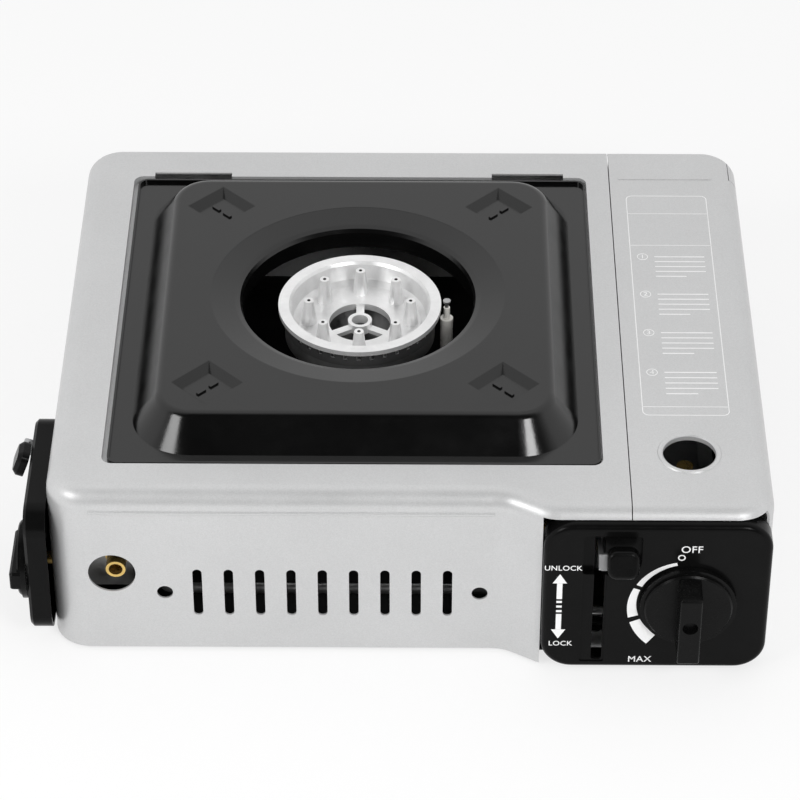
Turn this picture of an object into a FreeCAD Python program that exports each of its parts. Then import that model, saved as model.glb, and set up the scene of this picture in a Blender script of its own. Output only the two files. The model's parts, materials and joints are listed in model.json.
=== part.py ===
"""Cassette stove for a gas cartridge, with a second valve and inlet for a gas hose.

Millimetres, +Z up, X to the right and Y to the back as the cook sees it. Every piece is
modelled about the middle of the pressed casing and is then placed in the stove's own frame,
whose origin is the middle of the whole stove's footprint on the table.
"""
import FreeCAD, Part
import math
import os
import re
import Sketcher

doc = FreeCAD.newDocument("cassette_stove")
dims = doc.addObject("Spreadsheet::Sheet", "dims")

SIZES = {
    # pressed casing
    "body_width": 342,
    "body_depth": 290.7,
    "body_top": 97,
    "body_foot": 2.2,
    "gauge": 1.0,
    "corner_round": 18,
    "roll_round": 9,
    "bay_proud": 11.7,
    "bay_start": 45,
    "bay_full": 65,
    "bay_round": 20,
    # opening for the pan support, measured from the casing's middle
    "well_left": 145.3,
    "well_right": 91.6,
    "well_front": 121.7,
    "well_back": 116.4,
    "well_round": 5,
    "ledge_width": 7,
    "ledge_drop": 3.5,
    "ledge_skirt": 6,
    "notch_deep": 3.5,
    "notch_one": -114.5,
    "notch_one_long": 40.4,
    "notch_two": 61,
    "notch_two_long": 37.5,
    # air slots and round holes in the front wall
    "slot_first": -100.4,
    "slot_pitch": 14.86,
    "slot_wide": 4.5,
    "slot_tall": 28.5,
    "slot_height": 37.15,
    "peep_left": -116,
    "peep_right": 33.8,
    "peep_round": 3.85,
    "hose_x": -140.8,
    "hose_height": 48.9,
    "hose_hole": 11.3,
    "bead_round": 1.3,
    "bead_proud": 0.7,
    "bead_drop": 10.8,
    "bead_end": 150,
    # cartridge lid
    "seam_x": 103.5,
    "seam_gap": 0.5,
    "lid_side_drop": 28,
    "lid_side_end": 116.4,
    "lid_back_drop": 9,
    "lid_axis_in": 5.5,
    "side_joggle": 1.5,
    "sight_x": 132.5,
    "sight_y": -112.4,
    "sight_round": 12.6,
    "sight_collar": 3,
    "collar_rise": 0.6,
    "pin_round": 1.5,
    "hinge_eye": 2.8,
    "hinge_gauge": 1.2,
    "ear_one": 108.2,
    "ear_two": 149.2,
    "running_gap": 0.05,
    # base and feet
    "base_rise": 3.2,
    "base_rim": 9,
    "base_gap": 0.4,
    "foot_round": 9,
    "foot_stem": 2.6,
    "foot_in_x": 24,
    "foot_in_y": 22,
    "floor_slot_pitch": 17,
    "screw_round": 1.5,
    "screw_head": 3,
    "screw_head_tall": 1.5,
    "screw_long": 3.5,
    # cartridge bay
    "divider_x": 95.5,
    "divider_front": -128,
    "divider_back": 142.9,
    "gas_x": 131.65,
    "gas_height": 44.8,
    "can_round": 34,
    "cradle_gap": 0.5,
    "cradle_half": 16,
    "cradle_front": -55,
    "cradle_back": 112,
    # front control panel
    "panel_left": 63,
    "panel_right": 170,
    "panel_low": 3.5,
    "panel_high": 91.9,
    "panel_face": 160.3,
    "panel_back": 149,
    "panel_round": 15,
    "panel_edge": 3,
    "panel_wall": 2,
    "frame_back": 147,
    "lever_x": 89.5,
    "lever_slot_wide": 5,
    "lever_slot_low": 8.5,
    "pad_bay_left": 81.5,
    "pad_bay_right": 109,
    "pad_bay_low": 62,
    "pad_bay_high": 86,
    "pad_bay_deep": 4,
    # gas knob
    "knob_round": 20.8,
    "knob_skirt": 22.8,
    "knob_skirt_thick": 2.5,
    "knob_disc_thick": 5,
    "knob_proud": 19,
    "grip_wide": 10.5,
    "grip_soft": 1.2,
    "knob_lift": 0.6,
    "stem_round": 3,
    "stem_hole_gap": 1.2,
    "valve_back": 122,
    "pipe_round": 2.5,
    "pipe_bend": 4.5,
    "regulator_round": 20.5,
    "nozzle_tip": 80,
    "hose_round": 4.7,
    "hose_bore": 3.3,
    "hose_face": 142.5,
    "hose_reach": 9.5,
    "hose_thread": 5.6,
    "hose_thread_long": 6.5,
    "electrode_x": 18.2,
    "electrode_y": -1,
    "lead_round": 1.3,
    "igniter_x": 160,
    "igniter_round": 6,
    # cartridge lever
    "pivot_round": 2,
    "lever_long": 79,
    "lever_tilt": 20.6,
    "lever_pivot_high": 47.5,
    "lever_stand": 5.7,
    "lever_thick": 2,
    "lever_half": 4,
    "crank_long": 7.2,
    "pad_wide": 15,
    "pad_left": 92.2,
    "pad_tall": 14,
    "pad_front": 6,
    "pad_back": 2,
    "pad_room": 0.9,
    "pad_edge": 2,
    "slider_travel": 5,
    "slider_x": 91.6,
    "slider_thick": 1.5,
    # burner
    "burner_x": -25.1,
    "burner_y": -2.6,
    "burner_top": 103.2,
    "burner_round": 40.5,
    "ring_wide": 5.8,
    "dish_deep": 12,
    "pip_circle": 25.3,
    "pip_tall": 13.4,
    "pip_round": 4,
    "pip_tip": 2.5,
    "hub_opening": 15.4,
    "hub_round": 6,
    "hub_bore": 4.1,
    "port_round": 38.0,
    "port_wall": 1.3,
    "port_count": 36,
    "port_wide": 2.2,
    "mixer_height": 49,
    "mixer_round": 8.5,
    "jet_x": 70,
    "jet_y": -113,
    "jet_round": 5,
    "cup_round": 20,
    "cup_wall": 1.2,
    # pan support
    "pan_x": -26,
    "pan_y": -2.6,
    "pan_margin": 1.5,
    "flange_rim": 1.8,
    "foot_in_side": 9.15,
    "foot_in_end": 6.85,
    "foot_corner": 30,
    "crown_inset": 13.4,
    "crown_rise": 15.5,
    "crown_edge": 5,
    "funnel_round": 73,
    "lip_round": 57.5,
    "lip_drop": 3.2,
    "collar_deep": 14,
    "cup_x": 71,
    "cup_y": 73.5,
    "cup_half": 12.2,
    "cup_slope": 3.6,
    "cup_deep": 4,
    "arm_thick": 1.6,
    "arm_long": 46,
    "arm_tall": 21,
    # left control panel
    "side_front": -146,
    "side_back": -63,
    "side_low": 9,
    "side_high": 83,
    "side_thick": 10.5,
    "side_round": 12,
    "side_knob_y": -126,
    "side_knob_high": 42,
    "side_knob_round": 18,
    "side_knob_proud": 8.5,
    "side_lever_y": -82,
    "side_slot_low": 16,
    "side_slot_high": 79,
    "side_stand": 4.7,
    "side_pad_front": 3.5,
    # the strip of casing beside the lid at the back, and the height of the wall behind it
    "strip_wide": 4,
    "back_wall_drop": 12.5,
    "lid_gap": 0.4,
}

for row, (alias, number) in enumerate(SIZES.items(), 1):
    dims.set(f"A{row}", alias)
    dims.set(f"B{row}", str(number))
    dims.setAlias(f"B{row}", alias)
doc.recompute()

X_AXIS = FreeCAD.Vector(1, 0, 0)
Y_AXIS = FreeCAD.Vector(0, 1, 0)
Z_AXIS = FreeCAD.Vector(0, 0, 1)

# The stove reaches further to the front and to the left than the casing, by its two knobs.
HALF_X = "(body_width / 2)"
HALF_Y = "(body_depth / 2)"
LEFT_REACH = f"({HALF_X} + side_thick + side_knob_proud)"
FRONT_REACH = "(panel_face + knob_proud)"
CENTRE_X = f"(({LEFT_REACH} - {HALF_X}) / 2)"
CENTRE_Y = f"(({FRONT_REACH} - {HALF_Y}) / 2)"

pieces = {}


def cells(formula):
    """Point the size names in a formula at the sheet's cells."""
    return re.sub(r"\b[a-z][a-z_]*(?![a-z_(])", lambda name: "dims." + name.group(0), str(formula))


def value(formula):
    """Work a formula out now, as a number."""
    return float(dims.evalExpression(cells(formula)))


def bind(thing, **formulas):
    for name, formula in formulas.items():
        thing.setExpression(name, cells(formula))


def move(thing, x=0, y=0, z=0):
    for axis, formula in zip("xyz", (x, y, z)):
        thing.setExpression(f"Placement.Base.{axis}", cells(formula))


def turn(thing, axis, degrees):
    thing.Placement = FreeCAD.Placement(FreeCAD.Vector(), FreeCAD.Rotation(axis, degrees))


def finish(thing, node, x=0, y=0, z=0):
    """Name a piece and place it in the stove's own frame."""
    thing.Label = node
    move(thing, f"{CENTRE_X} + ({x})", f"{CENTRE_Y} + ({y})", z)
    pieces[node] = thing


def block(name, x, y, z):
    """A box between a low and a high formula on each axis."""
    solid = doc.addObject("Part::Box", name)
    for side, (low, high) in zip(("Length", "Width", "Height"), (x, y, z)):
        solid.setExpression(side, cells(f"({high}) - ({low})"))
    move(solid, x[0], y[0], z[0])
    return solid


TURNS = {"z": None, "-z": (X_AXIS, 180), "y": (X_AXIS, -90), "-y": (X_AXIS, 90),
         "x": (Y_AXIS, 90), "-x": (Y_AXIS, -90)}


def aim(thing, along):
    if TURNS[along]:
        turn(thing, *TURNS[along])


def rod(name, radius, length, start, along="z"):
    solid = doc.addObject("Part::Cylinder", name)
    bind(solid, Radius=radius, Height=length)
    aim(solid, along)
    move(solid, *start)
    return solid


def cut(name, base, *tools):
    result = doc.addObject("Part::Cut", name)
    result.Base = base
    result.Tool = tools[0] if len(tools) == 1 else fuse(name + "_tools", *tools)
    return result


def fuse(name, *solids):
    result = doc.addObject("Part::MultiFuse", name)
    result.Shapes = list(solids)
    return result


def common(name, *solids):
    result = doc.addObject("Part::MultiCommon", name)
    result.Shapes = list(solids)
    return result


def group(name, solids):
    result = doc.addObject("Part::Compound", name)
    result.Links = list(solids)
    return result


def new_body(name):
    body = doc.addObject("PartDesign::Body", name)
    doc.recompute()
    return body


def corner_points(corners):
    """Where the straight sides of an outline meet each corner's arc."""
    points = [tuple(value(part) for part in corner) for corner in corners]
    found = []
    for index, (x, y, radius) in enumerate(points):
        here = FreeCAD.Vector(x, y, 0)
        before = (FreeCAD.Vector(*points[index - 1][:2], 0) - here).normalize()
        after = (FreeCAD.Vector(*points[(index + 1) % len(points)][:2], 0) - here).normalize()
        half = before.getAngle(after) / 2
        reach = radius / math.tan(half)
        centre = here
        if radius:
            centre = here + (before + after).normalize() * (radius / math.sin(half))
        left_turn = (before * -1).cross(after).z > 0
        found.append((here, here + before * reach, here + after * reach, centre, radius, left_turn))
    return found


def draw_circle(sketch, x, y, radius):
    centre = FreeCAD.Vector(value(x), value(y), 0)
    ring = sketch.addGeometry(Part.Circle(centre, Z_AXIS, value(radius)), False)
    limits = (
        (Sketcher.Constraint("Radius", ring, value(radius)), radius),
        (Sketcher.Constraint("DistanceX", -1, 1, ring, 3, centre.x), x),
        (Sketcher.Constraint("DistanceY", -1, 1, ring, 3, centre.y), y),
    )
    for limit, formula in limits:
        number = sketch.addConstraint(limit)
        sketch.setExpression(f"Constraints[{number}]", cells(formula))


def draw(sketch, corners):
    """A closed outline of straight sides, each corner (x, y, radius), or a whole circle."""
    if corners[0] == "circle":
        draw_circle(sketch, *corners[1:])
        return
    spots = corner_points(corners)
    count = len(spots)
    sides = []
    for index, spot in enumerate(spots):
        line = Part.LineSegment(spot[2], spots[(index + 1) % count][1])
        sides.append(sketch.addGeometry(line, False))
    bound = []
    for index, (here, start, end, centre, radius, left_turn) in enumerate(spots):
        before, after = sides[index - 1], sides[index]
        if radius:
            first = math.atan2(start.y - centre.y, start.x - centre.x)
            last = math.atan2(end.y - centre.y, end.x - centre.x)
            ends = (1, 2)
            if not left_turn:
                first, last = last, first
                ends = (2, 1)
            last += 2 * math.pi if last < first else 0
            arc = Part.ArcOfCircle(Part.Circle(centre, Z_AXIS, radius), first, last)
            arc = sketch.addGeometry(arc, False)
            corner = sketch.addGeometry(Part.Point(here), True)
            sketch.addConstraint(Sketcher.Constraint("Tangent", before, 2, arc, ends[0]))
            sketch.addConstraint(Sketcher.Constraint("Tangent", after, 1, arc, ends[1]))
            sketch.addConstraint(Sketcher.Constraint("PointOnObject", corner, 1, before))
            sketch.addConstraint(Sketcher.Constraint("PointOnObject", corner, 1, after))
            number = sketch.addConstraint(Sketcher.Constraint("Radius", arc, radius))
            bound.append((number, corners[index][2]))
        else:
            corner = after
            sketch.addConstraint(Sketcher.Constraint("Coincident", before, 2, after, 1))
        for kind, place, formula in zip(("DistanceX", "DistanceY"), here, corners[index]):
            limit = Sketcher.Constraint(kind, -1, 1, corner, 1, place)
            bound.append((sketch.addConstraint(limit), formula))
    for number, formula in bound:
        sketch.setExpression(f"Constraints[{number}]", cells(formula))


def sketch_on(body, name, plane, height, *outlines):
    """A sketch on one of the body's own planes, lifted along that plane's normal."""
    sketch = body.newObject("Sketcher::SketchObject", name)
    base = [one for one in body.Origin.OriginFeatures if one.Role == plane + "_Plane"]
    sketch.AttachmentSupport = [(base[0], "")]
    sketch.MapMode = "FlatFace"
    sketch.setExpression("AttachmentOffset.Base.z", cells(height))
    for corners in outlines:
        draw(sketch, corners)
    return sketch


def pad(body, name, plane, height, length, *outlines, taper=0):
    feature = body.newObject("PartDesign::Pad", name)
    feature.Profile = sketch_on(body, name + "_sketch", plane, height, *outlines)
    bind(feature, Length=length)
    if taper:
        bind(feature, TaperAngle=taper)
    doc.recompute()
    return feature


def repeat_line(body, name, features, length, count):
    """Repeat features along the X direction of the first one's sketch."""
    pattern = body.newObject("PartDesign::LinearPattern", name)
    pattern.Originals = features
    pattern.Direction = (features[0].Profile[0], ["H_Axis"])
    bind(pattern, Length=length, Occurrences=count)
    body.Tip = pattern
    doc.recompute()
    return pattern


def repeat_round(body, name, features, count):
    """Repeat features evenly about the body's own Z axis."""
    pattern = body.newObject("PartDesign::PolarPattern", name)
    pattern.Originals = features
    axis = [one for one in body.Origin.OriginFeatures if one.Role == "Z_Axis"]
    pattern.Axis = (axis[0], [""])
    pattern.Angle = 360
    bind(pattern, Occurrences=count)
    body.Tip = pattern
    doc.recompute()
    return pattern


def pocket(body, name, plane, height, depth, *outlines):
    """Cut from the sketch against its plane's normal, and check that it cuts."""
    before = body.Shape.Volume
    feature = body.newObject("PartDesign::Pocket", name)
    feature.Profile = sketch_on(body, name + "_sketch", plane, height, *outlines)
    bind(feature, Length=depth)
    doc.recompute()
    if body.Shape.Volume >= before:
        raise ValueError(name + " cuts nothing")
    return feature


def edges_where(shape, test):
    return [f"Edge{number}" for number, edge in enumerate(shape.Edges, 1) if test(edge)]


def round_edges(body, name, radius, test):
    last = body.Tip
    feature = body.newObject("PartDesign::Fillet", name)
    feature.Base = (last, edges_where(last.Shape, test))
    bind(feature, Radius=radius)
    doc.recompute()
    return feature


def bevel_edges(body, name, size, test):
    last = body.Tip
    feature = body.newObject("PartDesign::Chamfer", name)
    feature.Base = (last, edges_where(last.Shape, test))
    bind(feature, Size=size)
    doc.recompute()
    return feature


def flat_at(height):
    """Edges that lie whole at one height."""
    level = value(height)
    return lambda item: all(abs(point.Z - level) < 1e-5 for point in item.Vertexes) and (
        abs(item.BoundBox.ZMax - item.BoundBox.ZMin) < 1e-3)


def rectangle(left, right, front, back, radius):
    return [(left, front, radius), (right, front, radius), (right, back, radius),
            (left, back, radius)]


def turned(name, profile, start=(0, 0, 0), along="z"):
    """Revolve a profile of (radius, height) corners about its own axis."""
    body = new_body(name)
    corners = [tuple(corner) if len(corner) == 3 else (*corner, 0) for corner in profile]
    feature = body.newObject("PartDesign::Revolution", name + "_turn")
    sketch = sketch_on(body, name + "_sketch", "XZ", 0, corners)
    feature.Profile = sketch
    feature.ReferenceAxis = (sketch, ["V_Axis"])
    feature.Angle = 360
    doc.recompute()
    aim(body, along)
    move(body, *start)
    return body


def plate(name, plane, height, length, *outlines):
    """A flat piece cut to an outline, thick along the plane's normal."""
    body = new_body(name)
    pad(body, name + "_pad", plane, height, length, *outlines)
    return body


def bent_tube(name, radius, points, bend=0):
    """A round rod along straight runs and tangent arcs, as tight as given or as wide as fits."""
    path = [FreeCAD.Vector(*(value(part) for part in point)) for point in points]
    size = value(radius)

    def disc(centre, facing):
        return Part.Face(Part.Wire(Part.makeCircle(size, centre, facing)))

    lengths = []
    last = path[0]
    for before, corner, after in zip(path, path[1:], path[2:]):
        travel = (corner - before).normalize()
        ahead = (after - corner).normalize()
        half = (travel * -1).getAngle(ahead) / 2
        shorter = min(corner.distanceToPoint(before), corner.distanceToPoint(after))
        arc = value(bend) or BEND_SHARE * shorter * math.tan(half)
        start = corner - travel * (arc / math.tan(half))
        centre = corner + (ahead - travel).normalize() * (arc / math.sin(half))
        lengths.append(disc(last, travel).extrude(start - last))
        sweep = 180 - 2 * math.degrees(half)
        lengths.append(disc(start, travel).revolve(centre, travel.cross(ahead), sweep))
        last = corner + ahead * (arc / math.tan(half))
    lengths.append(disc(last, path[-1] - last).extrude(path[-1] - last))
    solid = doc.addObject("Part::Feature", name)
    solid.Shape = lengths[0].fuse(lengths[1:])
    return solid


SLIDER_BACK = -78
LEVER_Y = "(lever_long * cos(lever_tilt) - panel_face - lever_stand)"
GAS_PIPE_Y = "(12 - frame_back)"
PIN_START = "(lever_x - lever_thick / 2 - 1.4)"
JET_RUN = "sqrt((jet_x - burner_x) ^ 2 + (jet_y - burner_y) ^ 2)"
BEND_SHARE = 0.45
PIP_SIDES = 12
ELECTRODE_LOW, CLIP_TOP = 50, 56.2
CORNERS = ((-1, -1), (1, -1), (1, 1), (-1, 1))


def circle(x, y, radius):
    return ("circle", x, y, radius)


def even_sides(x, y, radius, count):
    """An outline of short even sides, for a small round form."""
    corners = []
    for number in range(count):
        angle = 2 * math.pi * number / count
        corners.append((f"{x} + {radius} * {round(math.cos(angle), 6)}",
                        f"{y} + {radius} * {round(math.sin(angle), 6)}", 0))
    return corners


BASE_TOP = "(base_rise + gauge)"
LEDGE_LOW = "(body_top - ledge_drop - gauge)"
BAY_FRONT = f"({HALF_Y} + bay_proud)"
BAY_TURN = "tan(atan(bay_proud / (bay_full - bay_start)) / 2)"
LID_AXIS_Y = f"({HALF_Y} - lid_axis_in)"
LID_AXIS_Z = "(body_top - lid_axis_in)"
FLANGE_X = "((well_left + well_right) / 2 - pan_margin)"
FLANGE_Y = "((well_front + well_back) / 2 - pan_margin)"
CROWN_X = f"({FLANGE_X} - foot_in_side)"
CROWN_Y = f"({FLANGE_Y} - foot_in_end)"
FAR = 200


def casing_outline(inset):
    """The casing's plan, with the bay for the control panel standing proud on the right."""
    side = f"({HALF_X} - {inset})"
    shift = f"{inset} * {BAY_TURN}"
    return [
        (f"-{side}", f"{inset} - {HALF_Y}", f"corner_round - {inset}"),
        (f"bay_start + {shift}", f"{inset} - {HALF_Y}", f"bay_round + {inset}"),
        (f"bay_full + {shift}", f"{inset} - {BAY_FRONT}", f"bay_round - {inset}"),
        (side, f"{inset} - {BAY_FRONT}", f"corner_round - {inset}"),
        (side, f"{HALF_Y} - {inset}", f"corner_round - {inset}"),
        (f"-{side}", f"{HALF_Y} - {inset}", f"corner_round - {inset}"),
    ]


def well_outline(outward, radius="well_round"):
    """The opening for the pan support, larger by a distance outward."""
    return rectangle(f"-well_left - ({outward})", f"well_right + ({outward})",
                     f"-well_front - ({outward})", f"well_back + ({outward})", radius)


def pressed_cap(name, low):
    """A cap of sheet steel with the casing's plan and rolled top edge, open below."""
    body = new_body(name)
    pad(body, name + "_block", "XY", low, f"body_top - ({low})", casing_outline("0"))
    inside = "(body_top - gauge)"
    pocket(body, name + "_inside", "XY", inside, f"{inside} - ({low})", casing_outline("gauge"))
    round_edges(body, name + "_inner_roll", "roll_round - gauge", flat_at(inside))
    round_edges(body, name + "_roll", "roll_round", flat_at("body_top"))
    return body


def make_body_shell():
    body = pressed_cap("casing", "body_foot")
    pad(body, "well_wall", "XY", LEDGE_LOW, "ledge_drop + gauge / 2",
        well_outline("gauge", "well_round + gauge"), well_outline("0"))
    pad(body, "well_ledge", "XY", LEDGE_LOW, "gauge",
        well_outline("gauge", "well_round + gauge"), well_outline("-ledge_width"))
    pad(body, "well_skirt", "XY", f"{LEDGE_LOW} - ledge_skirt", "ledge_skirt + gauge / 2",
        well_outline("gauge - ledge_width", "well_round + gauge"), well_outline("-ledge_width"))
    pocket(body, "well_opening", "XY", "body_top", "gauge * 1.5", well_outline("0"))
    half_slot = "slot_wide / 2"
    slot = rectangle(f"slot_first - {half_slot}", f"slot_first + {half_slot}",
                     "slot_height - slot_tall / 2", "slot_height + slot_tall / 2",
                     "slot_wide * 0.49")
    first = pocket(body, "air_slot", "XZ", HALF_Y, "gauge * 3", slot)
    repeat_line(body, "air_slots", [first], "slot_pitch * 8", 9)
    pocket(body, "front_holes", "XZ", HALF_Y, "gauge * 3",
           circle("peep_left", "slot_height", "peep_round"),
           circle("peep_right", "slot_height", "peep_round"),
           circle("hose_x", "hose_height", "hose_hole"))
    doc.recompute()
    seam_flange = block("seam_flange", ("seam_x - gauge", "seam_x"), (-146, f"{HALF_Y} - 10"),
                        ("body_top - 7.2", "body_top - gauge / 2"))
    lid_rest = block("lid_rest", ("seam_x - gauge", "seam_x + 4.5"), (-135, -85),
                     ("body_top - 7.2", "body_top - 7.2 + gauge"))
    joggle_low = "(body_top - lid_side_drop - lid_gap - gauge)"
    joggle_ends = (-136, "lid_side_end - 2")
    web = block("joggle_web", (f"{HALF_X} - side_joggle - gauge", HALF_X), joggle_ends,
                (joggle_low, f"{joggle_low} + gauge"))
    upright = block("joggle_upright",
                    (f"{HALF_X} - side_joggle - gauge", f"{HALF_X} - side_joggle"), joggle_ends,
                    (joggle_low, f"{joggle_low} + 6"))
    lid_bay = block("lid_bay", ("seam_x", f"{HALF_X} - strip_wide"), (-FAR, FAR),
                    ("body_top - back_wall_drop", FAR))
    side_bay = block("side_bay", (f"{HALF_X} - strip_wide - 1", FAR), (-FAR, "lid_side_end + lid_gap"),
                     (f"{joggle_low} + gauge", FAR))
    panel_bay = block("panel_bay", ("panel_left - lid_gap", FAR), (-FAR, "-panel_back + lid_gap"),
                      (0, "panel_high + lid_gap"))
    notches = [
        block(f"notch_{number}", (f"{middle} - {long} / 2", f"{middle} + {long} / 2"),
              ("well_back - 0.5", "well_back + notch_deep"), (f"{LEDGE_LOW} - 0.2", FAR))
        for number, (middle, long) in enumerate(
            (("notch_one", "notch_one_long"), ("notch_two", "notch_two_long")))
    ]
    lever_hole = block("side_lever_hole", (-FAR, f"5 - {HALF_X}"),
                       ("side_lever_y - 4", "side_lever_y + 4"),
                       ("side_slot_low - 1", "side_slot_high + 1"))
    stem_hole = rod("side_stem_hole", 5, 10, (f"-{HALF_X} - 5", "side_knob_y", "side_knob_high"), "x")
    open_casing = cut("open_casing", body, lid_bay, side_bay, panel_bay, lever_hole, stem_hole,
                      *notches)
    bead = rod("front_bead", "bead_round", "bead_end + bay_start - 5",
               ("-bead_end", f"bead_round - bead_proud - {HALF_Y}", "body_top - bead_drop"), "x")
    shell = fuse("body_shell_solid", open_casing, seam_flange, lid_rest, web, upright, bead)
    finish(shell, "body_shell")


def make_lid():
    low = "(body_top - lid_side_drop)"
    cap = pressed_cap("lid_cap", low)
    keep_right = f"{HALF_X} - strip_wide - lid_gap"
    front = "(lid_gap - panel_back)"
    top = block("lid_top", ("seam_x + seam_gap", keep_right), (front, FAR),
                ("body_top - lid_back_drop", FAR))
    side = block("lid_side", (f"{keep_right} - 1", FAR), (front, "lid_side_end"), (low, FAR))
    nose = block("lid_nose", ("seam_x + seam_gap", FAR), (-FAR, f"{front} + 1"),
                 ("panel_high + lid_gap", FAR))
    region = fuse("lid_region", top, side, nose)
    sheet = common("lid_sheet", cap, region)
    flange = block("lid_flange", ("seam_x + seam_gap", "seam_x + seam_gap + gauge"),
                   (-144, f"{HALF_Y} - 12"), ("body_top - 6", "body_top - gauge / 2"))
    ears = []
    for number, x in enumerate(("ear_one", "ear_two")):
        ear = plate(f"lid_ear_{number}", "YZ", x, "hinge_gauge", [
            (f"{LID_AXIS_Y} - 5.5", "body_top - gauge / 2", 0),
            (f"{LID_AXIS_Y} - 5.5", f"{LID_AXIS_Z} - 3.5", 2.5),
            (f"{LID_AXIS_Y} + 3.2", f"{LID_AXIS_Z} - 3.5", 2.5),
            (f"{LID_AXIS_Y} + 3.2", "body_top - gauge / 2", 0),
        ])
        pocket(ear, f"lid_ear_bore_{number}", "YZ", f"{x} + hinge_gauge + 1", "hinge_gauge + 2",
               circle(LID_AXIS_Y, LID_AXIS_Z, "pin_round + running_gap"))
        ears.append(ear)
    notches = [
        block(f"hinge_notch_{number}", x, (f"{HALF_Y} - 4.5", FAR), (0, FAR))
        for number, x in enumerate(((100, "ear_one - lid_gap"),
                                    ("ear_two + hinge_gauge + lid_gap", "ear_two + 3.6")))
    ]
    collar = turned("sight_collar_ring", [
        ("sight_round", "body_top - 2.2"), ("sight_round", "body_top + collar_rise - 0.5"),
        ("sight_round + 0.6", "body_top + collar_rise"),
        ("sight_round + sight_collar - 0.8", "body_top + collar_rise"),
        ("sight_round + sight_collar", "body_top - gauge / 2"),
        ("sight_round + gauge", "body_top - gauge / 2"), ("sight_round + gauge", "body_top - 2.2"),
    ], ("sight_x", "sight_y", 0))
    sight_hole = rod("sight_hole", "sight_round", 20, ("sight_x", "sight_y", "body_top - 10"))
    lid = cut("lid_cut", sheet, sight_hole, *notches)
    finish(fuse("lid_solid", lid, flange, collar, *ears), "cartridge_lid")


def make_lid_hinges():
    """Two brackets on the back wall, each with a pin through the lid's ear."""
    plates, pins = [], []
    low, high = "(body_top - 24)", "(body_top - 15)"
    wall = f"({HALF_Y} - gauge)"
    for number, (x, wing) in enumerate((("ear_one - 2", ("ear_one - 2", "ear_one + 6")),
                                        ("ear_two + 2", ("ear_two - 2", "ear_two + 3")))):
        arm = plate(f"hinge_arm_{number}", "YZ", x, "hinge_gauge", [
            (f"{LID_AXIS_Y} - hinge_eye", f"{LID_AXIS_Z} + hinge_eye", "hinge_eye * 0.95"),
            (f"{LID_AXIS_Y} - hinge_eye", low, 0), (wall, low, 0),
            (wall, "body_top - back_wall_drop - 0.5", 0),
            (f"{LID_AXIS_Y} + hinge_eye", "body_top - back_wall_drop + 1", 0),
            (f"{LID_AXIS_Y} + hinge_eye", f"{LID_AXIS_Z} + hinge_eye", "hinge_eye * 0.95"),
        ])
        foot = block(f"hinge_wing_{number}", wing, (f"{wall} - hinge_gauge", wall), (low, high))
        bore = rod(f"hinge_bore_{number}", "pin_round", 10, (f"{x} - 3", LID_AXIS_Y, LID_AXIS_Z), "x")
        plates.append(cut(f"hinge_bracket_{number}", fuse(f"hinge_plate_{number}", arm, foot), bore))
    for number, x in enumerate(("ear_one - 2.8", "ear_two - 0.6")):
        pins.append(rod(f"hinge_pin_{number}", "pin_round", 4.6, (x, LID_AXIS_Y, LID_AXIS_Z), "x"))
    finish(group("hinge_brackets", plates), "lid_hinge_brackets")
    finish(group("hinge_pins", pins), "lid_hinge_pins")


screw_places = []


def screw_bores(name, *places):
    """Holes in a piece's toes for the screws that come up through the base plate."""
    screw_places.extend(places)
    return [rod(f"{name}_screw_bore_{number}", "screw_round", "screw_long", (x, y, "base_rise"))
            for number, (x, y) in enumerate(places)]


def make_base():
    tray = new_body("base_tray")
    inset = "(gauge + base_gap)"
    pad(tray, "tray_block", "XY", "base_rise", "base_rim", casing_outline(inset))
    pocket(tray, "tray_inside", "XY", "base_rise + base_rim", "base_rim - gauge",
           casing_outline("(2 * gauge + base_gap)"))
    slot = rectangle(-78, -73, -45, 45, 2.4)
    first = pocket(tray, "floor_slot", "XY", BASE_TOP, "gauge * 2", slot)
    repeat_line(tray, "floor_slots", [first], "floor_slot_pitch * 6", 7)
    holes = [circle(x, y, "foot_stem + running_gap") for x, y in foot_places()]
    holes += [circle(x, y, "screw_round") for x, y in screw_places]
    pocket(tray, "foot_holes", "XY", BASE_TOP, "gauge * 2", *holes)
    bay = block("tray_bay", ("panel_left - 1.5", FAR), (-FAR, "lid_gap - panel_back + 1"), (0, 40))
    finish(cut("base_plate_solid", tray, bay), "base_plate")
    feet = []
    for number, (x, y) in enumerate(foot_places()):
        feet.append(turned(f"foot_{number}", [
            (0, 0), ("foot_round", 0), ("foot_round", "base_rise"),
            ("foot_stem", "base_rise"), ("foot_stem", BASE_TOP), ("foot_stem + 1.6", BASE_TOP),
            ("foot_stem", f"{BASE_TOP} + 3"), (0, f"{BASE_TOP} + 3"),
        ], (x, y, 0)))
    finish(group("feet", feet), "rubber_feet")
    screws = []
    for number, (x, y) in enumerate(screw_places):
        shank = rod(f"screw_shank_{number}", "screw_round", "screw_long", (x, y, "base_rise"))
        head = rod(f"screw_head_{number}", "screw_head", "screw_head_tall",
                   (x, y, "base_rise - screw_head_tall"))
        screws.append(fuse(f"screw_{number}", shank, head))
    finish(group("screws", screws), "base_screws")


def foot_places():
    side, end = f"({HALF_X} - foot_in_x)", f"({HALF_Y} - foot_in_y)"
    return [(f"-{side}", f"-{end}"), (side, f"-{end}"), (side, end), (f"-{side}", end)]


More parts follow.
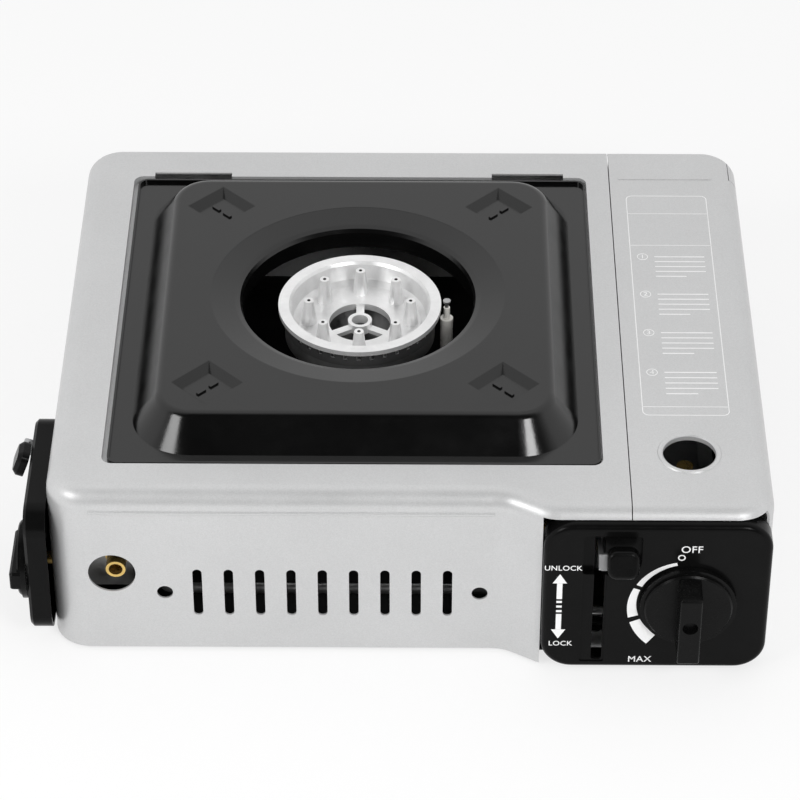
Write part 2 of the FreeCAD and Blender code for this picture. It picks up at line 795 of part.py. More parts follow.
def make_divider():
    """The sheet that parts the cartridge bay from the burner and carries the lever's pin."""
    low, high = BASE_TOP, "body_top - gauge"
    upright = plate("divider_upright", "YZ", "divider_x", "gauge", [
        ("divider_front", low, 0), ("divider_back", low, 0),
        ("divider_back", high, "roll_round - gauge / 2"), ("divider_front", high, 0),
    ])
    floor_flange = block("divider_foot", ("divider_x - 11", "divider_x + gauge"), (-90, 138),
                         (low, f"{low} + gauge"))
    top_flange = block("divider_head", ("divider_x - 1.5", "divider_x + 6"), (-90, 135),
                       ("body_top - 2 * gauge", high))
    window = block("divider_window", (0, FAR), (SLIDER_BACK - 12, SLIDER_BACK + 4), (24, 72))
    vents = [
        block(f"divider_vent_{number}", (0, FAR), (y, y + 22), ("body_top - 17", "body_top - 12"))
        for number, y in enumerate(range(-60, 120, 30))
    ]
    bore = rod("divider_bore", "pivot_round", 40, (80, LEVER_Y, "lever_pivot_high"), "x")
    pivot_room = block("divider_jet_gap", (0, FAR), (-FAR, -119), (0, 30))
    solid = fuse("divider_solid", upright, floor_flange, top_flange)
    finish(cut("divider_cut", solid, window, bore, pivot_room, *vents), "bay_divider")


def make_cradle():
    inner = "can_round + cradle_gap"
    length = "cradle_back - cradle_front"
    start = ("gas_x", "cradle_front", "gas_height")
    outer = rod("cradle_outer", f"{inner} + gauge", length, start, "y")
    hollow_rod = rod("cradle_inner", inner, length, start, "y")
    keep = block("cradle_keep", ("gas_x - cradle_half", "gas_x + cradle_half"),
                 ("cradle_front", "cradle_back"), (0, "gas_height"))
    trough = common("cradle_trough", cut("cradle_ring", outer, hollow_rod), keep)
    drop = "sqrt((can_round + cradle_gap) ^ 2 - cradle_half ^ 2)"
    legs = []
    for number, side in enumerate((-1, 1)):
        low_x = "gas_x - cradle_half" if side < 0 else "gas_x + cradle_half - gauge"
        legs.append(block(f"cradle_leg_{number}", (low_x, f"{low_x} + gauge"),
                          ("cradle_front", "cradle_back"), (BASE_TOP, f"gas_height - {drop}")))
        toe = (f"{low_x} - 8", f"{low_x} + gauge") if side < 0 else (low_x, f"{low_x} + 9")
        legs.append(block(f"cradle_toe_{number}", toe, ("cradle_front", "cradle_back"),
                          (BASE_TOP, f"{BASE_TOP} + gauge")))
    screws = screw_bores("cradle", ("gas_x - cradle_half - 4", 40), ("gas_x + cradle_half + 4", 40))
    finish(cut("cradle_cut", fuse("cradle_solid", trough, *legs), *screws), "cartridge_cradle")


def make_control_panel():
    panel = new_body("panel")
    face = rectangle("panel_left", "panel_right", "panel_low", "panel_high", "panel_round")
    pad(panel, "panel_block", "XZ", "panel_back", "panel_face - panel_back", face)
    level = -value("panel_face")
    round_edges(panel, "panel_bevel", "panel_edge",
                lambda edge: all(abs(point.Y - level) < 1e-5 for point in edge.Vertexes))
    pocket(panel, "panel_inside", "XZ", "panel_face - panel_wall",
           "panel_face - panel_wall - panel_back",
           rectangle("panel_left + panel_wall", "panel_right - panel_wall",
                     "panel_low + panel_wall", "panel_high - panel_wall",
                     "panel_round - panel_wall"))
    pad(panel, "pad_bay_box", "XZ", "panel_face - pad_bay_deep - panel_wall",
        "pad_bay_deep + panel_wall / 2",
        rectangle("pad_bay_left - panel_wall", "pad_bay_right + panel_wall",
                  "pad_bay_low - panel_wall", "pad_bay_high + panel_wall", 6))
    pocket(panel, "pad_bay", "XZ", "panel_face", "pad_bay_deep", [
        ("pad_bay_left", "pad_bay_low", 1.5), ("pad_bay_right", "pad_bay_low", 9),
        ("pad_bay_right", "pad_bay_high", 2), ("pad_bay_left", "pad_bay_high", 2)])
    pocket(panel, "lever_band", "XZ", "panel_face", "panel_wall / 3",
           rectangle("pad_bay_left", "lever_x + lever_slot_wide * 0.7", "panel_low + 4",
                     "pad_bay_low + 1", 1))
    pocket(panel, "lever_slot", "XZ", "panel_face + 1", "pad_bay_deep + panel_wall + 2",
           rectangle("lever_x - lever_slot_wide / 2", "lever_x + lever_slot_wide / 2",
                     "lever_slot_low", "pad_bay_high - 1.5", 1.5))
    pocket(panel, "stem_hole", "XZ", "panel_face + 1", "panel_wall + 2",
           circle("gas_x", "gas_height", "stem_round + stem_hole_gap"))
    finish(panel, "control_panel")


def make_control_frame():
    frame = plate("frame_sheet", "XZ", "frame_back - gauge", "gauge", [
        ("panel_left + 4", BASE_TOP, 0), ("panel_right - 5", BASE_TOP, 0),
        ("panel_right - 5", "panel_high - 6", 6), ("panel_left + 4", "panel_high - 6", 6),
    ])
    pocket(frame, "frame_lever_slot", "XZ", "frame_back + 1", "gauge * 3",
           rectangle("lever_x - 4", "lever_x + 4", "lever_slot_low + 6", "pad_bay_high - 3", 3))
    pocket(frame, "frame_stem_hole", "XZ", "frame_back + 1", "gauge * 3",
           circle("gas_x", "gas_height", "stem_round + stem_hole_gap"))
    foot = block("frame_foot", ("panel_left + 4", "panel_right - 5"),
                 ("-frame_back", "10 - frame_back"), (BASE_TOP, f"{BASE_TOP} + gauge"))
    bosses = [
        rod(f"frame_boss_{number}", 3, "panel_back - frame_back + 1.2",
            (x, "-panel_back - 1.2", z), "y")
        for number, (x, z) in enumerate((("panel_left + 9", 14), ("panel_right - 12", 14),
                                         ("panel_right - 12", 78)))
    ]
    screws = screw_bores("frame", ("panel_left + 21", "6 - frame_back"),
                         ("panel_right - 20", "6 - frame_back"))
    solid = fuse("control_frame_solid", frame, foot, *bosses)
    finish(cut("control_frame_cut", solid, *screws), "control_frame")


def make_knob(name, node, radius, skirt, proud, hold, start, along, grip_edge):
    """A round knob with a grip bar across it and a blind bore that takes its stem."""
    disc = turned(name + "_disc", [
        (0, "knob_lift"), (skirt, "knob_lift"), (skirt, "knob_lift + knob_skirt_thick"),
        (radius, "knob_lift + knob_skirt_thick"),
        (radius, "knob_disc_thick - 0.8"), (f"{radius} - 0.8", "knob_disc_thick"),
        (0, "knob_disc_thick"),
    ])
    grip = plate(name + "_grip", "YZ", "-grip_wide / 2", "grip_wide", [
        (f"0.9 - {skirt}", "knob_skirt_thick", 0), (f"{radius} - 1.3", "knob_skirt_thick", 0),
        (f"{radius} - 3", proud, 1.5), (f"0.9 - {skirt}", proud, 1.5),
    ])
    foot = value("knob_skirt_thick") + 0.1
    grip_edge(grip, name + "_soften", "grip_soft", lambda edge: (
        abs(edge.BoundBox.XLength) < 1e-3 and edge.BoundBox.ZMax > foot))
    dimple = rod(name + "_dimple", 3.7, 5, (0, 1, f"({proud}) * 0.84"))
    bore = rod(name + "_bore", "stem_round", f"{hold} + 1", (0, 0, -1))
    knob = cut(name + "_cut", fuse(name + "_solid", disc, grip), dimple, bore)
    aim(knob, along)
    finish(knob, node, *start)


def make_gas_control():
    """Knob, stem, valve, regulator and the nozzle that the cartridge seats on."""
    hold = "(knob_disc_thick + 3)"
    make_knob("gas_grip", "gas_knob", "knob_round", "knob_skirt", "knob_proud", hold,
              ("gas_x", "-panel_face", "gas_height"), "-y", round_edges)
    stem_start = f"-panel_face - {hold}"
    stem = rod("stem_solid", "stem_round", f"-valve_back - 8 - ({stem_start})", (0, 0, 0), "y")
    finish(stem, "valve_stem", "gas_x", stem_start, "gas_height")

    front, back = "-frame_back + gauge", "-valve_back"
    body = block("valve_block", ("gas_x - 13", "gas_x + 13"), (f"{front} + 2", back),
                 ("gas_height - 12", "gas_height + 12"))
    flange = block("valve_flange", ("gas_x - 21", "gas_x + 21"), (front, f"{front} + 2.5"),
                   ("gas_height - 8", "gas_height + 8"))
    outlet = rod("valve_outlet", 5, 19, ("gas_x - 19", GAS_PIPE_Y, "gas_height"), "x")
    stem_bore = rod("valve_stem_bore", "stem_round + running_gap", 40,
                    ("gas_x", "-valve_back - 8 - 40", "gas_height"), "y")
    pipe_bore = rod("valve_pipe_bore", "pipe_round", 6,
                    ("gas_x - 20", GAS_PIPE_Y, "gas_height"), "x")
    valve = cut("valve_cut", fuse("valve_solid", body, flange, outlet), stem_bore, pipe_bore)
    finish(valve, "gas_valve_body")

    regulator = turned("regulator_turned", [
        (0, 0), (18, 0), (18, 9), ("regulator_round", 9), ("regulator_round", 12), (0, 12),
    ], along="y")
    finish(regulator, "regulator_body", "gas_x", "-valve_back", "gas_height")
    nozzle_seat = "valve_back - nozzle_tip - 6"
    cover = turned("regulator_cover_turned", [
        (0, 12), ("regulator_round", 12), ("regulator_round", 14.5), (17, 14.5), (17, 22),
        (11, 22), (11, f"{nozzle_seat} - 4"), (4, f"{nozzle_seat} - 4"), (4, f"{nozzle_seat} - 8"),
        (0, f"{nozzle_seat} - 8"),
    ], ("gas_x", "-valve_back", "gas_height"), "y")
    tower_y = "(19 - valve_back)"
    tower = rod("regulator_tower", 6.5, 16, ("gas_x", tower_y, "gas_height + 10"))
    tower_bore = rod("regulator_tower_bore", 3.5, 20, ("gas_x", tower_y, "gas_height + 20"))
    finish(cut("regulator_cover_cut", fuse("regulator_cover_solid", cover, tower), tower_bore),
           "regulator_cover")
    plug = turned("plug_turned", [
        (0, 20), (3.5, 20), (3.5, 26), (5.4, 26), (5.4, 31), (4, 31), (4, 37), (0, 37),
    ])
    finish(plug, "relief_plug", "gas_x", tower_y, "gas_height")
    nozzle = turned("nozzle_turned", [
        (0, -8), (4, -8), (4, -4), (8, -4), (8, 0), (5, 0), (5, 4), (2.4, 4), (2.4, 6), (0.8, 6), (0.8, -4),
        (0, -4),
    ], along="y")
    finish(nozzle, "cartridge_nozzle", "gas_x", "-nozzle_tip - 6", "gas_height")
    seal = turned("seal_turned", [(5, 0), (7.4, 0), (7.4, 2.8), (5, 2.8)], along="y")
    finish(seal, "nozzle_seal", "gas_x", "-nozzle_tip - 6", "gas_height")


def make_lever(name, crank):
    """A flat arm on a pin, with a bent tab outside the panel for the finger pad.

    It is drawn level, pointing to the front, and then tilted up to where it rests.
    """
    arm = plate(name + "_arm", "YZ", "-lever_thick / 2", "lever_thick", [
        ("-lever_long - lever_thick / 2", "-lever_half", 1),
        ("lever_half + 1", "-lever_half - 1", 4),
        ("lever_half + 1", "crank_long + 3.4" if crank else "lever_half + 1", 3.2),
        ("-lever_half - 1", "crank_long + 3.4" if crank else "lever_half + 1", 3.2),
        ("-lever_half - 3", "lever_half", 0),
        ("-lever_long - lever_thick / 2", "lever_half", 1),
    ])
    pocket(arm, name + "_bore", "YZ", "lever_thick", "lever_thick * 2",
           circle(0, 0, "pivot_round + running_gap"))
    parts = [arm, lever_tab(name + "_tab")]
    if crank:
        parts.append(rod(name + "_crank_pin", "pivot_round - 0.2", 5, (0, 0, "crank_long"), "x"))
    return fuse(name + "_solid", *parts)


def lever_tab(name):
    """The bent end of a lever's arm, which fills the room in its finger pad."""
    return block(name, (0, "pad_wide * pad_room"),
                 ("-lever_long - lever_thick / 2", "-lever_long + lever_thick / 2"),
                 ("-lever_half", "lever_half"))


def make_pad(name, front, shape_edges):
    """The moulded finger pad, with a pocket that takes the lever's tab."""
    pad_body = new_body(name + "_moulding")
    left = "(pad_left - lever_x)"
    pad(pad_body, name + "_block", "XZ", "lever_long - pad_back", f"pad_back + {front}",
        rectangle(left, f"{left} + pad_wide", "-pad_tall / 2", "pad_tall / 2", 4.5))
    level = -value(f"lever_long + {front}")
    shape_edges(pad_body, name + "_round", "pad_edge",
                lambda edge: all(abs(point.Y - level) < 1e-5 for point in edge.Vertexes))
    return cut(name + "_cut", pad_body, lever_tab(name + "_tab_room"))


def tilt(thing, turn_about_z=0):
    """Stand a level lever at its rest angle, at the front or turned to the left side."""
    lift = FreeCAD.Rotation(X_AXIS, -value("lever_tilt"))
    thing.Placement = FreeCAD.Placement(
        FreeCAD.Vector(), FreeCAD.Rotation(Z_AXIS, turn_about_z).multiply(lift))


def make_cartridge_lever():
    arm = make_lever("lever", True)
    tilt(arm)
    finish(arm, "cartridge_lever", "lever_x", LEVER_Y, "lever_pivot_high")
    finger = make_pad("lever_pad", "pad_front", round_edges)
    tilt(finger)
    finish(finger, "lever_pad", "lever_x", LEVER_Y, "lever_pivot_high")
    pin_long = f"divider_x + gauge + 1 - ({PIN_START})"
    pin = turned("lever_pin_turned", [
        (0, 0), (4, 0), (4, 1.2), ("pivot_round", 1.2), ("pivot_round", pin_long), (0, pin_long),
    ], along="x")
    finish(pin, "lever_pin", PIN_START, LEVER_Y, "lever_pivot_high")


def make_slider():
    """The plate that the lever's crank pin pushes, with a fork behind the cartridge's collar."""
    crank_y = f"({LEVER_Y} + crank_long * sin(lever_tilt))"
    crank_z = "(lever_pivot_high + crank_long * (1 + cos(lever_tilt)) / 2)"
    side = plate("slider_side", "YZ", "slider_x", "slider_thick", [
        (f"{LEVER_Y} - 7", "lever_pivot_high - 7", 3), (SLIDER_BACK, "gas_height - 19", 3),
        (SLIDER_BACK, "lever_pivot_high + 15", 3), (f"{LEVER_Y} - 7", "lever_pivot_high + 15", 3),
    ])
    room = "(pivot_round + 0.1)"
    pocket(side, "slider_guide_slot", "YZ", "slider_x + slider_thick + 1", "slider_thick + 2",
           rectangle(f"{LEVER_Y} - {room}", f"{LEVER_Y} + {room} + slider_travel + 0.3",
                     f"lever_pivot_high - {room}", f"lever_pivot_high + {room}", "pivot_round"))
    pocket(side, "slider_crank_slot", "YZ", "slider_x + slider_thick + 1", "slider_thick + 2",
           rectangle(f"{crank_y} - pivot_round + 0.05", f"{crank_y} + pivot_round - 0.05",
                     f"{crank_z} - 2.5", f"{crank_z} + 2.5", "pivot_round - 0.25"))
    fork = plate("slider_fork", "XZ", f"-({SLIDER_BACK})", "slider_thick", [
        ("slider_x", "gas_height - 19", 3), ("gas_x + 19", "gas_height - 19", 4),
        ("gas_x + 19", "gas_height + 8", 2), ("slider_x", "gas_height + 8", 0),
    ])
    pocket(fork, "slider_fork_mouth", "XZ", f"slider_thick + 1 - ({SLIDER_BACK})", "slider_thick + 2",
           [("gas_x - 13", "gas_height + 12", 0), ("gas_x - 13", "gas_height - 13", 12.5),
            ("gas_x + 13", "gas_height - 13", 12.5), ("gas_x + 13", "gas_height + 12", 0)])
    finish(fuse("slider_solid", side, fork), "collar_slider")


def make_burner_head():
    """The cast ring, its dish with eight pips, the slotted wall below and the hub's spokes."""
    floor = "(burner_top - dish_deep)"
    low = "(burner_top - 10.7)"
    inner = "(burner_round - ring_wide)"
    wall = "(port_round - port_wall)"
    head = turned("head_casting", [
        ("burner_round", "burner_top"), ("burner_round", "burner_top - 2.5"),
        ("port_round", "burner_top - 2.5"), ("port_round", low),
        (wall, low), (wall, "burner_top - 3.2"),
        (f"{inner} + 0.6", "burner_top - 3.2"), (f"{inner} - 0.3", f"{floor} + 2"),
        (f"{inner} - 3.6", f"{floor} - 1.6"),
        ("hub_opening + 1.4", f"{floor} - 1.6"), ("hub_opening + 1.4", f"{floor} - 3.6"),
        ("hub_opening", f"{floor} - 3.6"), ("hub_opening", floor),
        (f"{inner} - 4.4", floor), (f"{inner} - 1.6", f"{floor} + 2.4"),
        (f"{inner} - 0.5", "burner_top - 1.4"), (f"{inner} + 0.5", "burner_top"),
    ])
    port = pocket(head, "flame_port", "XZ", f"0.5 - {wall}", "port_wall + 1.5",
                  rectangle("-port_wide / 2", "port_wide / 2", "burner_top - 7.4",
                            "burner_top - 3.2", 0))
    repeat_round(head, "flame_ports", [port], "port_count")
    pip = pad(head, "pip", "XY", f"{floor} - 0.5", "pip_tall + 0.5",
              even_sides(0, "pip_circle", "pip_round", PIP_SIDES),
              taper="-atan((pip_round - pip_tip) / pip_tall)")
    repeat_round(head, "pips", [pip], 8)
    spoke = pad(head, "spoke", "XY", f"{floor} - 3.2", 2.2,
                rectangle(-2, 2, "hub_bore + 0.6", "hub_opening + 0.8", 0))
    repeat_round(head, "spokes", [spoke], 3)
    pad(head, "hub", "XY", f"{floor} - 3.6", 5, circle(0, 0, "hub_round"),
        circle(0, 0, "hub_bore"))
    finish(head, "burner_head", "burner_x", "burner_y")


def make_burner_cup():
    """The dark mixing bowl under the ring, closed below, with a side mouth for the mixing tube."""
    rim = "(burner_top - 10.7)"
    low = "(mixer_height - mixer_round - 2.5)"
    bowl = turned("bowl_turned", [
        (0, low), ("cup_round", low), ("cup_round", "mixer_height + 9.5"),
        ("port_round - 0.6", f"{rim} - 8"), ("port_round - 0.6", rim),
        ("port_round - 0.6 - cup_wall", rim), ("port_round - 0.6 - cup_wall", f"{rim} - 7.6"),
        ("cup_round - cup_wall", "mixer_height + 10"),
        ("cup_round - cup_wall", f"{low} + cup_wall"), (0, f"{low} + cup_wall"),
    ], ("burner_x", "burner_y", 0))
    mouth = rod("bowl_mouth", "mixer_round", "cup_round + 5", (0, 0, 0))
    face_jet(mouth)
    move(mouth, "burner_x", "burner_y", "mixer_height")
    finish(cut("bowl_cut", bowl, mouth), "burner_cup")


def face_jet(thing):
    """Turn a piece built along Z so that it points level from the burner toward the jet."""
    level = FreeCAD.Vector(value("jet_x - burner_x"), value("jet_y - burner_y"), 0)
    thing.Placement = FreeCAD.Placement(FreeCAD.Vector(), FreeCAD.Rotation(Z_AXIS, level))


def make_mixing_tube():
    mouth = f"({JET_RUN} - 8)"
    tube = turned("mixing_tube_turned", [
        ("mixer_round - gauge", 0), ("mixer_round", 0), ("mixer_round", f"{mouth} - 16"),
        ("mixer_round + 2.5", mouth), ("mixer_round + 1.5", mouth),
        ("mixer_round - gauge", f"{mouth} - 16"),
    ])
    solid = doc.addObject("Part::Feature", "mixing_tube_placed")
    start = value("sqrt((cup_round - 1) ^ 2 - mixer_round ^ 2)")
    shape = tube.Shape.copy()
    keep = Part.makeCylinder(40, 400, FreeCAD.Vector(0, 0, start))
    solid.Shape = shape.common(keep)
    doc.removeObject(tube.Name)
    face_jet(solid)
    finish(solid, "mixing_tube", "burner_x", "burner_y", "mixer_height")


def make_gas_lines():
    """The jet block on its leg, its jet, and the two bent gas pipes that feed it."""
    block_x, block_y = ("jet_x - 1", "jet_x + 13"), ("jet_y - 14", "jet_y")
    body = block("jet_body", block_x, block_y, ("mixer_height - 7", "mixer_height + 7"))
    leg = block("jet_leg", ("jet_x + 2", "jet_x + 10"), ("jet_y - 8", "jet_y - 6"),
                (BASE_TOP, "mixer_height - 6"))
    toe = block("jet_toe", ("jet_x + 2", "jet_x + 10"), ("jet_y - 8", "jet_y + 6"),
                (BASE_TOP, f"{BASE_TOP} + 1.5"))
    toward_burner = FreeCAD.Vector(value("burner_x - jet_x"), value("burner_y - jet_y"), 0)
    facing = FreeCAD.Placement(FreeCAD.Vector(), FreeCAD.Rotation(Z_AXIS, toward_burner))
    place = ("jet_x + 2.2", "jet_y - 2.4", "mixer_height")
    socket = doc.addObject("Part::Cylinder", "jet_socket")
    bind(socket, Radius="jet_round", Height="jet_round * 3")
    socket.Placement = facing
    move(socket, *place)
    finish(cut("jet_block_cut", fuse("jet_block_solid", body, leg, toe), socket), "jet_block")
    jet = turned("jet_turned", [
        (0, 0), ("jet_round", 0), ("jet_round", 5), (3, 5), (3, 10), (0.7, 10), (0.7, 4), (0, 4),
    ])
    solid = doc.addObject("Part::Feature", "jet_placed")
    solid.Shape = jet.Shape.copy()
    doc.removeObject(jet.Name)
    solid.Placement = facing
    finish(solid, "jet_nozzle", *place)
    low = "(pipe_round + 14.5)"
    pipe = bent_tube("gas_pipe_solid", "pipe_round", [
        ("gas_x - 16", GAS_PIPE_Y, "gas_height"), ("gas_x - 28", GAS_PIPE_Y, "gas_height"),
        ("gas_x - 28", GAS_PIPE_Y, low), ("jet_x + 6", GAS_PIPE_Y, low),
        ("jet_x + 6", GAS_PIPE_Y, "mixer_height"), ("jet_x + 6", "jet_y - 14", "mixer_height"),
    ], "pipe_bend")
    finish(pipe, "gas_pipe")
    side_y = "(jet_y - 9)"
    pipe = bent_tube("side_pipe_solid", "pipe_round", [
        ("hose_x + 8", side_y, "side_knob_high"), ("hose_x + 22", side_y, "side_knob_high"),
        ("hose_x + 22", side_y, "pipe_round + 17"), ("jet_x - 13", side_y, "pipe_round + 17"),
        ("jet_x - 13", side_y, "mixer_height"), ("jet_x - 1", side_y, "mixer_height"),
    ], "pipe_bend")
    finish(pipe, "side_gas_pipe")


def make_burner_stand():
    top = "(mixer_height - mixer_round - 2.5)"
    deck = block("stand_deck", ("burner_x - 24", "burner_x + 24"), ("burner_y - 15", "burner_y + 15"),
                 (f"{top} - 1.5", top))
    parts = [deck]
    for number, side in enumerate((-1, 1)):
        inner = "burner_x - 24" if side < 0 else "burner_x + 22.5"
        toe = (f"{inner} - 9", f"{inner} + 1.5") if side < 0 else (inner, f"{inner} + 10.5")
        parts.append(block(f"stand_leg_{number}", (inner, f"{inner} + 1.5"),
                           ("burner_y - 15", "burner_y + 15"), (BASE_TOP, top)))
        parts.append(block(f"stand_toe_{number}", toe, ("burner_y - 15", "burner_y + 15"),
                           (BASE_TOP, f"{BASE_TOP} + 1.5")))
    screws = screw_bores("stand", ("burner_x - 26.4", "burner_y"), ("burner_x + 26.4", "burner_y"))
    finish(cut("stand_cut", fuse("stand_solid", *parts), *screws), "burner_stand")


def make_ignition():
    """Spark electrode beside the ring, its clip, the lead under the burner and the igniter."""
    place = ("electrode_x", "electrode_y", 0)
    ceramic = turned("ceramic_turned", [
        (0, ELECTRODE_LOW), (2.6, ELECTRODE_LOW), (2.6, CLIP_TOP), (3.2, CLIP_TOP), (3.2, 93),
        (1.6, 93), (1.6, 99.5), (0, 99.5),
    ])
    finish(ceramic, "electrode_insulator", *place)
    tip = turned("tip_turned", [
        (0, 99.5), (0.9, 99.5), (0.9, 102.6), (1.9, 102.6), (1.9, 103.6), (0, 103.6),
    ])
    finish(tip, "electrode_tip", *place)
    across = ("electrode_y - 4", "electrode_y + 4")
    arm = block("clip_arm", ("burner_x + cup_round", "electrode_x + 5"), across,
                (f"{CLIP_TOP} - 1.2", CLIP_TOP))
    root = block("clip_root", ("burner_x + cup_round - 2", "burner_x + cup_round + 1.6"), across,
                 (f"{CLIP_TOP} - 10", CLIP_TOP))
    inner = rod("clip_seat", "cup_round", 30, ("burner_x", "burner_y", f"{CLIP_TOP} - 20"))
    bore = rod("clip_bore", 2.6, 6, ("electrode_x", "electrode_y", f"{CLIP_TOP} - 4"))
    finish(cut("clip_cut", fuse("clip_solid", arm, root), inner, bore), "electrode_clip")
    lead_low, lead_y = 12, "(6 - frame_back)"
    lead = bent_tube("lead_solid", "lead_round", [
        ("electrode_x", "electrode_y", ELECTRODE_LOW), ("electrode_x", "electrode_y", 34),
        (34, -34, lead_low), (62, "5 + " + lead_y, lead_low), (134, lead_y, lead_low),
        ("igniter_x", -116, lead_low),
        ("igniter_x", -116, "gas_height - igniter_round"),
    ])
    finish(lead, "ignition_lead")
    igniter = turned("igniter_turned", [
        (0, 0), (4, 0), (4, 3), ("igniter_round", 3), ("igniter_round", 36), (0, 36),
    ], ("igniter_x", "gauge - frame_back", "gas_height"), "y")
    socket = rod("igniter_socket", 2.4, 4, ("igniter_x", -116, "gas_height - igniter_round"))
    finish(fuse("igniter_solid", igniter, socket), "piezo_igniter")


def make_pan_support():
    """The enamelled pan support, stored upside down, so that its dished crown stands up."""
    flange_low = "(body_top - ledge_drop)"
    top = f"({flange_low} + gauge + crown_rise)"
    slope = "atan(crown_inset / (crown_rise + gauge))"
    shells = []
    for name, inset, height in (("crown", "0", "crown_rise + gauge"),
                                ("crown_hollow", f"gauge / cos({slope})", "crown_rise")):
        body = new_body(name)
        pad(body, name + "_block", "XY", flange_low, height,
            rectangle(f"{inset} - {CROWN_X}", f"{CROWN_X} - {inset}",
                      f"{inset} - {CROWN_Y}", f"{CROWN_Y} - {inset}",
                      f"foot_corner - {inset}"), taper="-" + slope)
        round_edges(body, name + "_roll", f"crown_edge - ({top} - {flange_low} - ({height}))",
                    flat_at(f"{flange_low} + {height}"))
        shells.append(body)
    opening = rod("funnel_hole", "funnel_round", "gauge * 3", (0, 0, f"{top} - gauge * 2"))
    crown = cut("crown_sheet", *shells, opening)
    flange = new_body("flange")
    edge = rectangle("-" + FLANGE_X, FLANGE_X, "-" + FLANGE_Y, FLANGE_Y, 5)
    inside = rectangle(f"gauge * 0.8 - {CROWN_X}", f"{CROWN_X} - gauge * 0.8",
                       f"gauge * 0.8 - {CROWN_Y}", f"{CROWN_Y} - gauge * 0.8", "foot_corner")
    pad(flange, "flange_sheet", "XY", flange_low, "gauge", edge, inside)
    rim_inside = rectangle(f"gauge - {FLANGE_X}", f"{FLANGE_X} - gauge",
                           f"gauge - {FLANGE_Y}", f"{FLANGE_Y} - gauge", 4)
    pad(flange, "flange_rim", "XY", f"{flange_low} + gauge / 2", "flange_rim + gauge / 2", edge,
        rim_inside)
    lip = f"({top} - lip_drop)"
    funnel = turned("funnel", [
        ("funnel_round + 0.4", top), ("lip_round + 3.4", f"{lip} + 0.8"),
        ("lip_round + 1", lip), ("lip_round", f"{lip} - 2"), ("lip_round", f"{top} - collar_deep"),
        ("lip_round + gauge", f"{top} - collar_deep"), ("lip_round + gauge", f"{lip} - 2.2"),
        ("lip_round + gauge + 0.8", f"{lip} - gauge"), ("lip_round + 3.8", f"{lip} + 0.8 - gauge"),
        ("funnel_round + 0.4", f"{top} - gauge"),
    ])
    outers, inners, slots = [], [], []
    for number, (side, end) in enumerate(CORNERS):
        spot = (f"{side} * cup_x", f"{end} * cup_y")
        outers.append(cup(f"cup_outer_{number}", spot, top, "cup_half + 0.8", "cup_deep + gauge"))
        inners.append(cup(f"cup_inner_{number}", spot, top, "cup_half", "cup_deep"))
        slots.append(tab_slots(f"cup_slots_{number}", number, 0.15, (f"{top} - 8", f"{top} - 2")))
    solid = fuse("support_solid", crown, flange, funnel, *outers)
    finish(cut("support_cut", solid, *inners, *slots), "pan_support", "pan_x", "pan_y")


def cup(name, spot, top, half, deep):
    """A recess's solid: a square cup on its corner, narrower toward its floor."""
    solid = doc.addObject("Part::Wedge", name)
    bind(solid, Xmin=f"-({half})", Xmax=half, Zmin=f"-({half})", Zmax=half, Ymin=0,
         X2min=f"cup_slope - ({half})", X2max=f"{half} - cup_slope",
         Z2min=f"cup_slope - ({half})", Z2max=f"{half} - cup_slope", Ymax=deep)
    down = FreeCAD.Rotation(X_AXIS, -90)
    solid.Placement = FreeCAD.Placement(
        FreeCAD.Vector(), FreeCAD.Rotation(Z_AXIS, 45).multiply(down))
    move(solid, *spot, top)
    return solid


def tab_slots(name, corner, gap, height):
    """Two upright strips across a recess's floor, where an arm's tabs come through."""
    side, end = CORNERS[corner]
    strips = []
    for number, along in enumerate((-4, 4)):
        strip = doc.addObject("Part::Box", f"{name}_{number}")
        bind(strip, Length=f"5 + 2 * {gap}", Width=f"arm_thick + 2 * {gap}",
             Height=f"({height[1]}) - ({height[0]})")
        angle = math.degrees(math.atan2(end, side))
        strip.Placement = FreeCAD.Placement(FreeCAD.Vector(), FreeCAD.Rotation(Z_AXIS, angle))
        back = f"({along} - 2.5 - {gap})"
        across = f"(arm_thick / 2 + {gap})"
        reach = math.sqrt(0.5)
        move(strip, f"{side} * cup_x + {side * reach} * {back} + {end * reach} * {across}",
             f"{end} * cup_y + {end * reach} * {back} - {side * reach} * {across}", height[0])
        strips.append(strip)
    return fuse(name, *strips)


def make_support_arms():
    """Four arms that carry the pan in use; stored, they hang under the recesses' floors."""
    top = "(body_top - ledge_drop + gauge + crown_rise)"
    under = f"({top} - cup_deep - gauge)"
    arms = []
    for number, (side, end) in enumerate(CORNERS):
        arm = plate(f"arm_{number}", "XZ", "-arm_thick / 2", "arm_thick", [
            ("-arm_long / 2", f"{under} - 6", 2), ("-arm_long / 2 + 4", f"{under} - arm_tall", 3),
            ("arm_long / 2 - 10", f"{under} - arm_tall", 4), ("arm_long / 2", f"{under} - 10", 3),
            ("7", under, 0), ("-7", under, 0),
        ])
        tabs = block(f"arm_tab_{number}", (-6.5, -1.5), ("-arm_thick / 2", "arm_thick / 2"),
                     (f"{under} - 1", f"{under} + gauge + 0.9"))
        more = block(f"arm_more_{number}", (1.5, 6.5), ("-arm_thick / 2", "arm_thick / 2"),
                     (f"{under} - 1", f"{under} + gauge + 0.9"))
        whole = fuse(f"arm_whole_{number}", arm, tabs, more)
        angle = math.degrees(math.atan2(end, side))
        whole.Placement = FreeCAD.Placement(FreeCAD.Vector(), FreeCAD.Rotation(Z_AXIS, angle))
        move(whole, f"{side} * cup_x", f"{end} * cup_y")
        arms.append(whole)
    finish(group("arms", arms), "support_arms", "pan_x", "pan_y")


